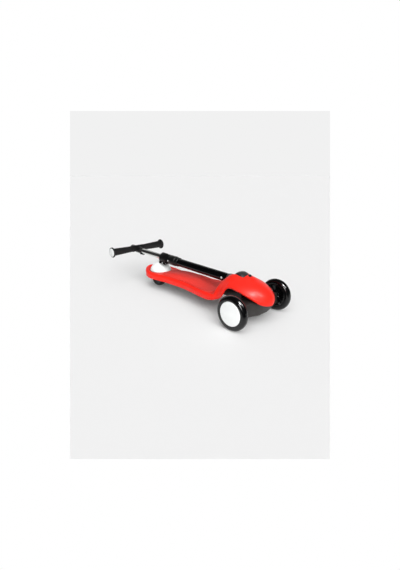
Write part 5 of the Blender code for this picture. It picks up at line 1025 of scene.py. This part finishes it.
def picture_point(across, down, height=None, far=None):
    """The point at a height, or in the upright plane through a far line, that the photograph
    shows at a place given in pixels."""
    place, right, up, back = view_frame()
    sideways = right * ((across - PIXELS_ACROSS / 2) / FOCAL_PIXELS)
    way = sideways + up * ((PIXELS_DOWN / 2 - down) / FOCAL_PIXELS) - back
    if far is None:
        return place + way * ((height - place.z) / way.z)
    level = Vector((-back.x, -back.y, 0.0)).normalized()
    return place + way * ((far - place).dot(level) / way.dot(level))


def studio():
    """A pale sheet that lies on a white floor and ends in an upright card behind, an even pale
    surround, broad lamps that give the soft shadows, and soft panels that only show as
    highlights."""
    left, right, top, bottom = SHEET_IN_PICTURE
    far_left, far_right = picture_point(left, SHEET_END, 0.0), picture_point(right, SHEET_END, 0.0)
    # The card only fills the picture behind the sheet
    glow, shader, tree = surface_material("studio_card_matt", Roughness=1.0)
    shader.inputs["Base Color"].default_value = (0.0, 0.0, 0.0, 1.0)
    shader.inputs["Specular IOR Level"].default_value = 0.0
    shader.inputs["Emission Color"].default_value = linear(CARD_COLOUR)
    shader.inputs["Emission Strength"].default_value = 1.0
    card = flat("backdrop_card", [far_left, far_right, picture_point(right, top, far=far_left),
                                  picture_point(left, top, far=far_left)], glow)
    for ray in ("diffuse", "glossy", "transmission", "shadow", "volume_scatter"):
        setattr(card, "visible_" + ray, False)
    # Matt white paper, evenly lit
    paper, shader, tree = surface_material("studio_paper_matt", Roughness=1.0)
    # In gloss the sheet is pale round the object and behind it, and ends in a dark room in front
    place = add_node(tree, "TexCoord")
    apart = add_node(tree, "SeparateXYZ", {}, {0: place.outputs["Object"]})
    oval = add_node(tree, "Mapping", {"Location": (-SHEET_MID / SHEET_HALF_LENGTH, 0.0, 0.0),
                                      "Scale": (1 / SHEET_HALF_LENGTH, 1 / SHEET_HALF_WIDTH, 1.0)},
                    {"Vector": place.outputs["Object"]})
    away = add_node(tree, "VectorMath", {"operation": "LENGTH"}, {0: oval.outputs["Vector"]})
    near = add_node(tree, "MapRange", {"From Min": SHEET_FROM, "From Max": SHEET_TO, "To Min": 0.0,
                                       "To Max": 1.0}, {"Value": away.outputs["Value"]})
    front = add_node(tree, "MapRange", {"From Min": 0.2, "From Max": 0.0, "To Min": 0.0,
                                        "To Max": 1.0}, {"Value": apart.outputs["Y"]})
    beyond = add_node(tree, "Math", {"operation": "MULTIPLY"},
                      {0: near.outputs["Result"], 1: front.outputs["Result"]})
    path = add_node(tree, "LightPath")
    dark = add_node(tree, "Math", {"operation": "MULTIPLY"},
                    {0: beyond.outputs[0], 1: path.outputs["Is Glossy Ray"]})
    shade = add_node(tree, "Mix", {"data_type": "RGBA", 6: linear(FLOOR_COLOUR), 7: linear(ROOM_COLOUR)},
                     {0: dark.outputs[0]})
    tree.links.new(shader.inputs["Base Color"], shade.outputs[2])
    shader.inputs["Specular IOR Level"].default_value = 0.0
    flat("paper_sheet", [picture_point(left, bottom, 0.0), picture_point(right, bottom, 0.0),
                         far_right, far_left], paper)
    # The floor round the sheet is plain white to the camera, and lights the object as it does
    white = paper.copy()
    white.name = "studio_floor_white"
    tree = white.node_tree
    path = add_node(tree, "LightPath")
    shown = add_node(tree, "Emission", {"Color": (1.0, 1.0, 1.0, 1.0), "Strength": 1.0})
    matt = tree.nodes["Principled BSDF"].outputs[0]
    mixed = add_node(tree, "MixShader", {}, {0: path.outputs["Is Camera Ray"], 1: matt,
                                             2: shown.outputs[0]})
    tree.links.new(tree.nodes["Material Output"].inputs["Surface"], mixed.outputs[0])
    corners = [(-1, -1), (1, -1), (1, 1), (-1, 1)]
    flat("white_floor", [(FLOOR_HALF * x, FLOOR_HALF * y, FLOOR_DROP) for x, y in corners], white)
    world = bpy.data.worlds.new("studio_surround")
    bpy.context.scene.world = world
    world.use_nodes = True
    tree = world.node_tree
    ambient = tree.nodes["Background"]
    ambient.inputs["Color"].default_value = (1.0, 1.0, 1.0, 1.0)
    ambient.inputs["Strength"].default_value = AMBIENT
    # Glossy surfaces see a bright wall behind the object and a dark room in front of it
    place = add_node(tree, "TexCoord")
    toward = tuple(from_bearing(GLOSS_BEARING, 0))
    behind = add_node(tree, "VectorMath", {"operation": "DOT_PRODUCT", 1: toward},
                      {0: place.outputs["Object"]})
    level = add_node(tree, "MapRange", {"interpolation_type": "SMOOTHSTEP", "From Min": GLOSS_FROM,
                                        "From Max": GLOSS_TO, "To Min": GLOSS_LOW,
                                        "To Max": GLOSS_HIGH}, {"Value": behind.outputs["Value"]})
    apart = add_node(tree, "SeparateXYZ", {}, {0: place.outputs["Object"]})
    high = add_node(tree, "MapRange", {"interpolation_type": "SMOOTHSTEP", "From Min": GLOSS_LEVEL,
                                       "From Max": GLOSS_TOP, "To Min": 1.0, "To Max": 0.3},
                    {"Value": apart.outputs["Z"]})
    wall = add_node(tree, "Math", {"operation": "MULTIPLY"},
                    {0: level.outputs["Result"], 1: high.outputs["Result"]})
    gloss = add_node(tree, "Background", {"Color": (1.0, 1.0, 1.0, 1.0)},
                     {"Strength": wall.outputs[0]})
    shown = add_node(tree, "Background", {"Color": linear("#FFFFFF"), "Strength": 1.0})
    path = add_node(tree, "LightPath")
    lit = add_node(tree, "MixShader", {}, {0: path.outputs["Is Glossy Ray"], 1: ambient.outputs[0],
                                           2: gloss.outputs[0]})
    mixed = add_node(tree, "MixShader", {}, {0: path.outputs["Is Camera Ray"], 1: lit.outputs[0],
                                             2: shown.outputs[0]})
    tree.links.new(tree.nodes["World Output"].inputs["Surface"], mixed.outputs[0])
    for name, bearing, height, spread, share in LAMPS:
        sun(name, share * math.pi / math.sin(math.radians(height)), spread, bearing, height)
    panel("hood_highlight", 322, 52, 1.2, (0.22, 0.34), 76.0)
    panel("tyre_highlight", 25, 55, 0.35, (0.05, 0.22), 34.0, (0.36, -0.13, 0.11))
    panel("window_highlight", 283, 14, 1.5, (0.35, 0.60), 15.0)


def from_bearing(bearing, height):
    """The unit vector towards a bearing and a height, both in degrees."""
    a, e = math.radians(bearing), math.radians(height)
    return Vector((math.cos(e) * math.cos(a), math.cos(e) * math.sin(a), math.sin(e)))


def sun(name, strength, spread, bearing, height):
    """A broad lamp that shines from a bearing and height, and leaves gloss alone."""
    data = bpy.data.lights.new(name, "SUN")
    data.energy = strength
    data.angle = math.radians(spread)
    lamp = bpy.data.objects.new(name, data)
    lamp.rotation_euler = from_bearing(bearing, height).to_track_quat("Z", "Y").to_euler()
    lamp.visible_glossy = False
    bpy.context.scene.collection.objects.link(lamp)
    return lamp


def panel(name, bearing, height, distance, size, radiance, target=(0.2, 0.0, 0.1)):
    """A soft rectangular panel that only shows in glossy surfaces, aimed at a point."""
    data = bpy.data.lights.new(name, "AREA")
    data.shape = "RECTANGLE"
    data.size, data.size_y = size
    data.energy = radiance * math.pi * size[0] * size[1]
    lamp = bpy.data.objects.new(name, data)
    way = from_bearing(bearing, height)
    lamp.location = Vector(target) + distance * way
    lamp.rotation_euler = way.to_track_quat("Z", "Y").to_euler()
    lamp.visible_diffuse = False
    bpy.context.scene.collection.objects.link(lamp)
    return lamp


def camera():
    """The photograph's camera, with no lens shift."""
    place, right, up, back = view_frame()
    data = bpy.data.cameras.new("view")
    data.sensor_width = 36.0
    data.lens = data.sensor_width * FOCAL_PIXELS / PIXELS_DOWN
    obj = bpy.data.objects.new("view", data)
    obj.matrix_world = Matrix(((right.x, up.x, back.x, place.x), (right.y, up.y, back.y, place.y),
                               (right.z, up.z, back.z, place.z), (0, 0, 0, 1)))
    bpy.context.scene.collection.objects.link(obj)
    bpy.context.scene.camera = obj


dress_nodes()
deck_moulding()
footboard()
brake_dome()
for wheel_side, wheel_label in ((1, "left"), (-1, "right")):
    front_wheel(wheel_side, wheel_label)
    grip(wheel_side, wheel_label)
tyre("cast_rear_tyre", REAR_WHEEL_RADIUS, REAR_WHEEL_WIDTH, REAR_TYRE_DEPTH,
     SHOULDER_DROP * REAR_SHOULDER_SHARE, REAR_AXLE, (0, 1, 0), "rear_wheel", "rear_tyre")
column_tube("painted_tube", LOWER_TUBE_RADIUS, LOWER_TUBE_WALL, KNUCKLE_SHOULDER, LOWER_TUBE_END,
            PAINT, "column", "gloss_black_paint", "lower_tube")
column_tube("chrome_tube", UPPER_TUBE_RADIUS, UPPER_TUBE_WALL, UPPER_TUBE_START,
            HANDLEBAR_AT - BAR_RADIUS - SEAT_GAP - 0.0006, CHROME, "steerer", "chrome_plate",
            "upper_tube")
for node_name, edge_radius, riding in (
        ("clamp_collar", 0.0012, "column"), ("clamp_lever", 0.0015, "quick_release_lever"),
        ("t_piece", 0.0015, "steerer"), ("front_bracket", 0.0012, "deck"),
        ("rear_carrier", 0.0012, "deck")):
    rounded(node_name, edge_radius, NYLON, riding)
rounded("knuckle", 0.0015, KNOB, "column")
rounded("truck_beam", 0.0030, BEAM, "truck")
studio()
camera()
bpy.context.scene.view_settings.view_transform = "Standard"
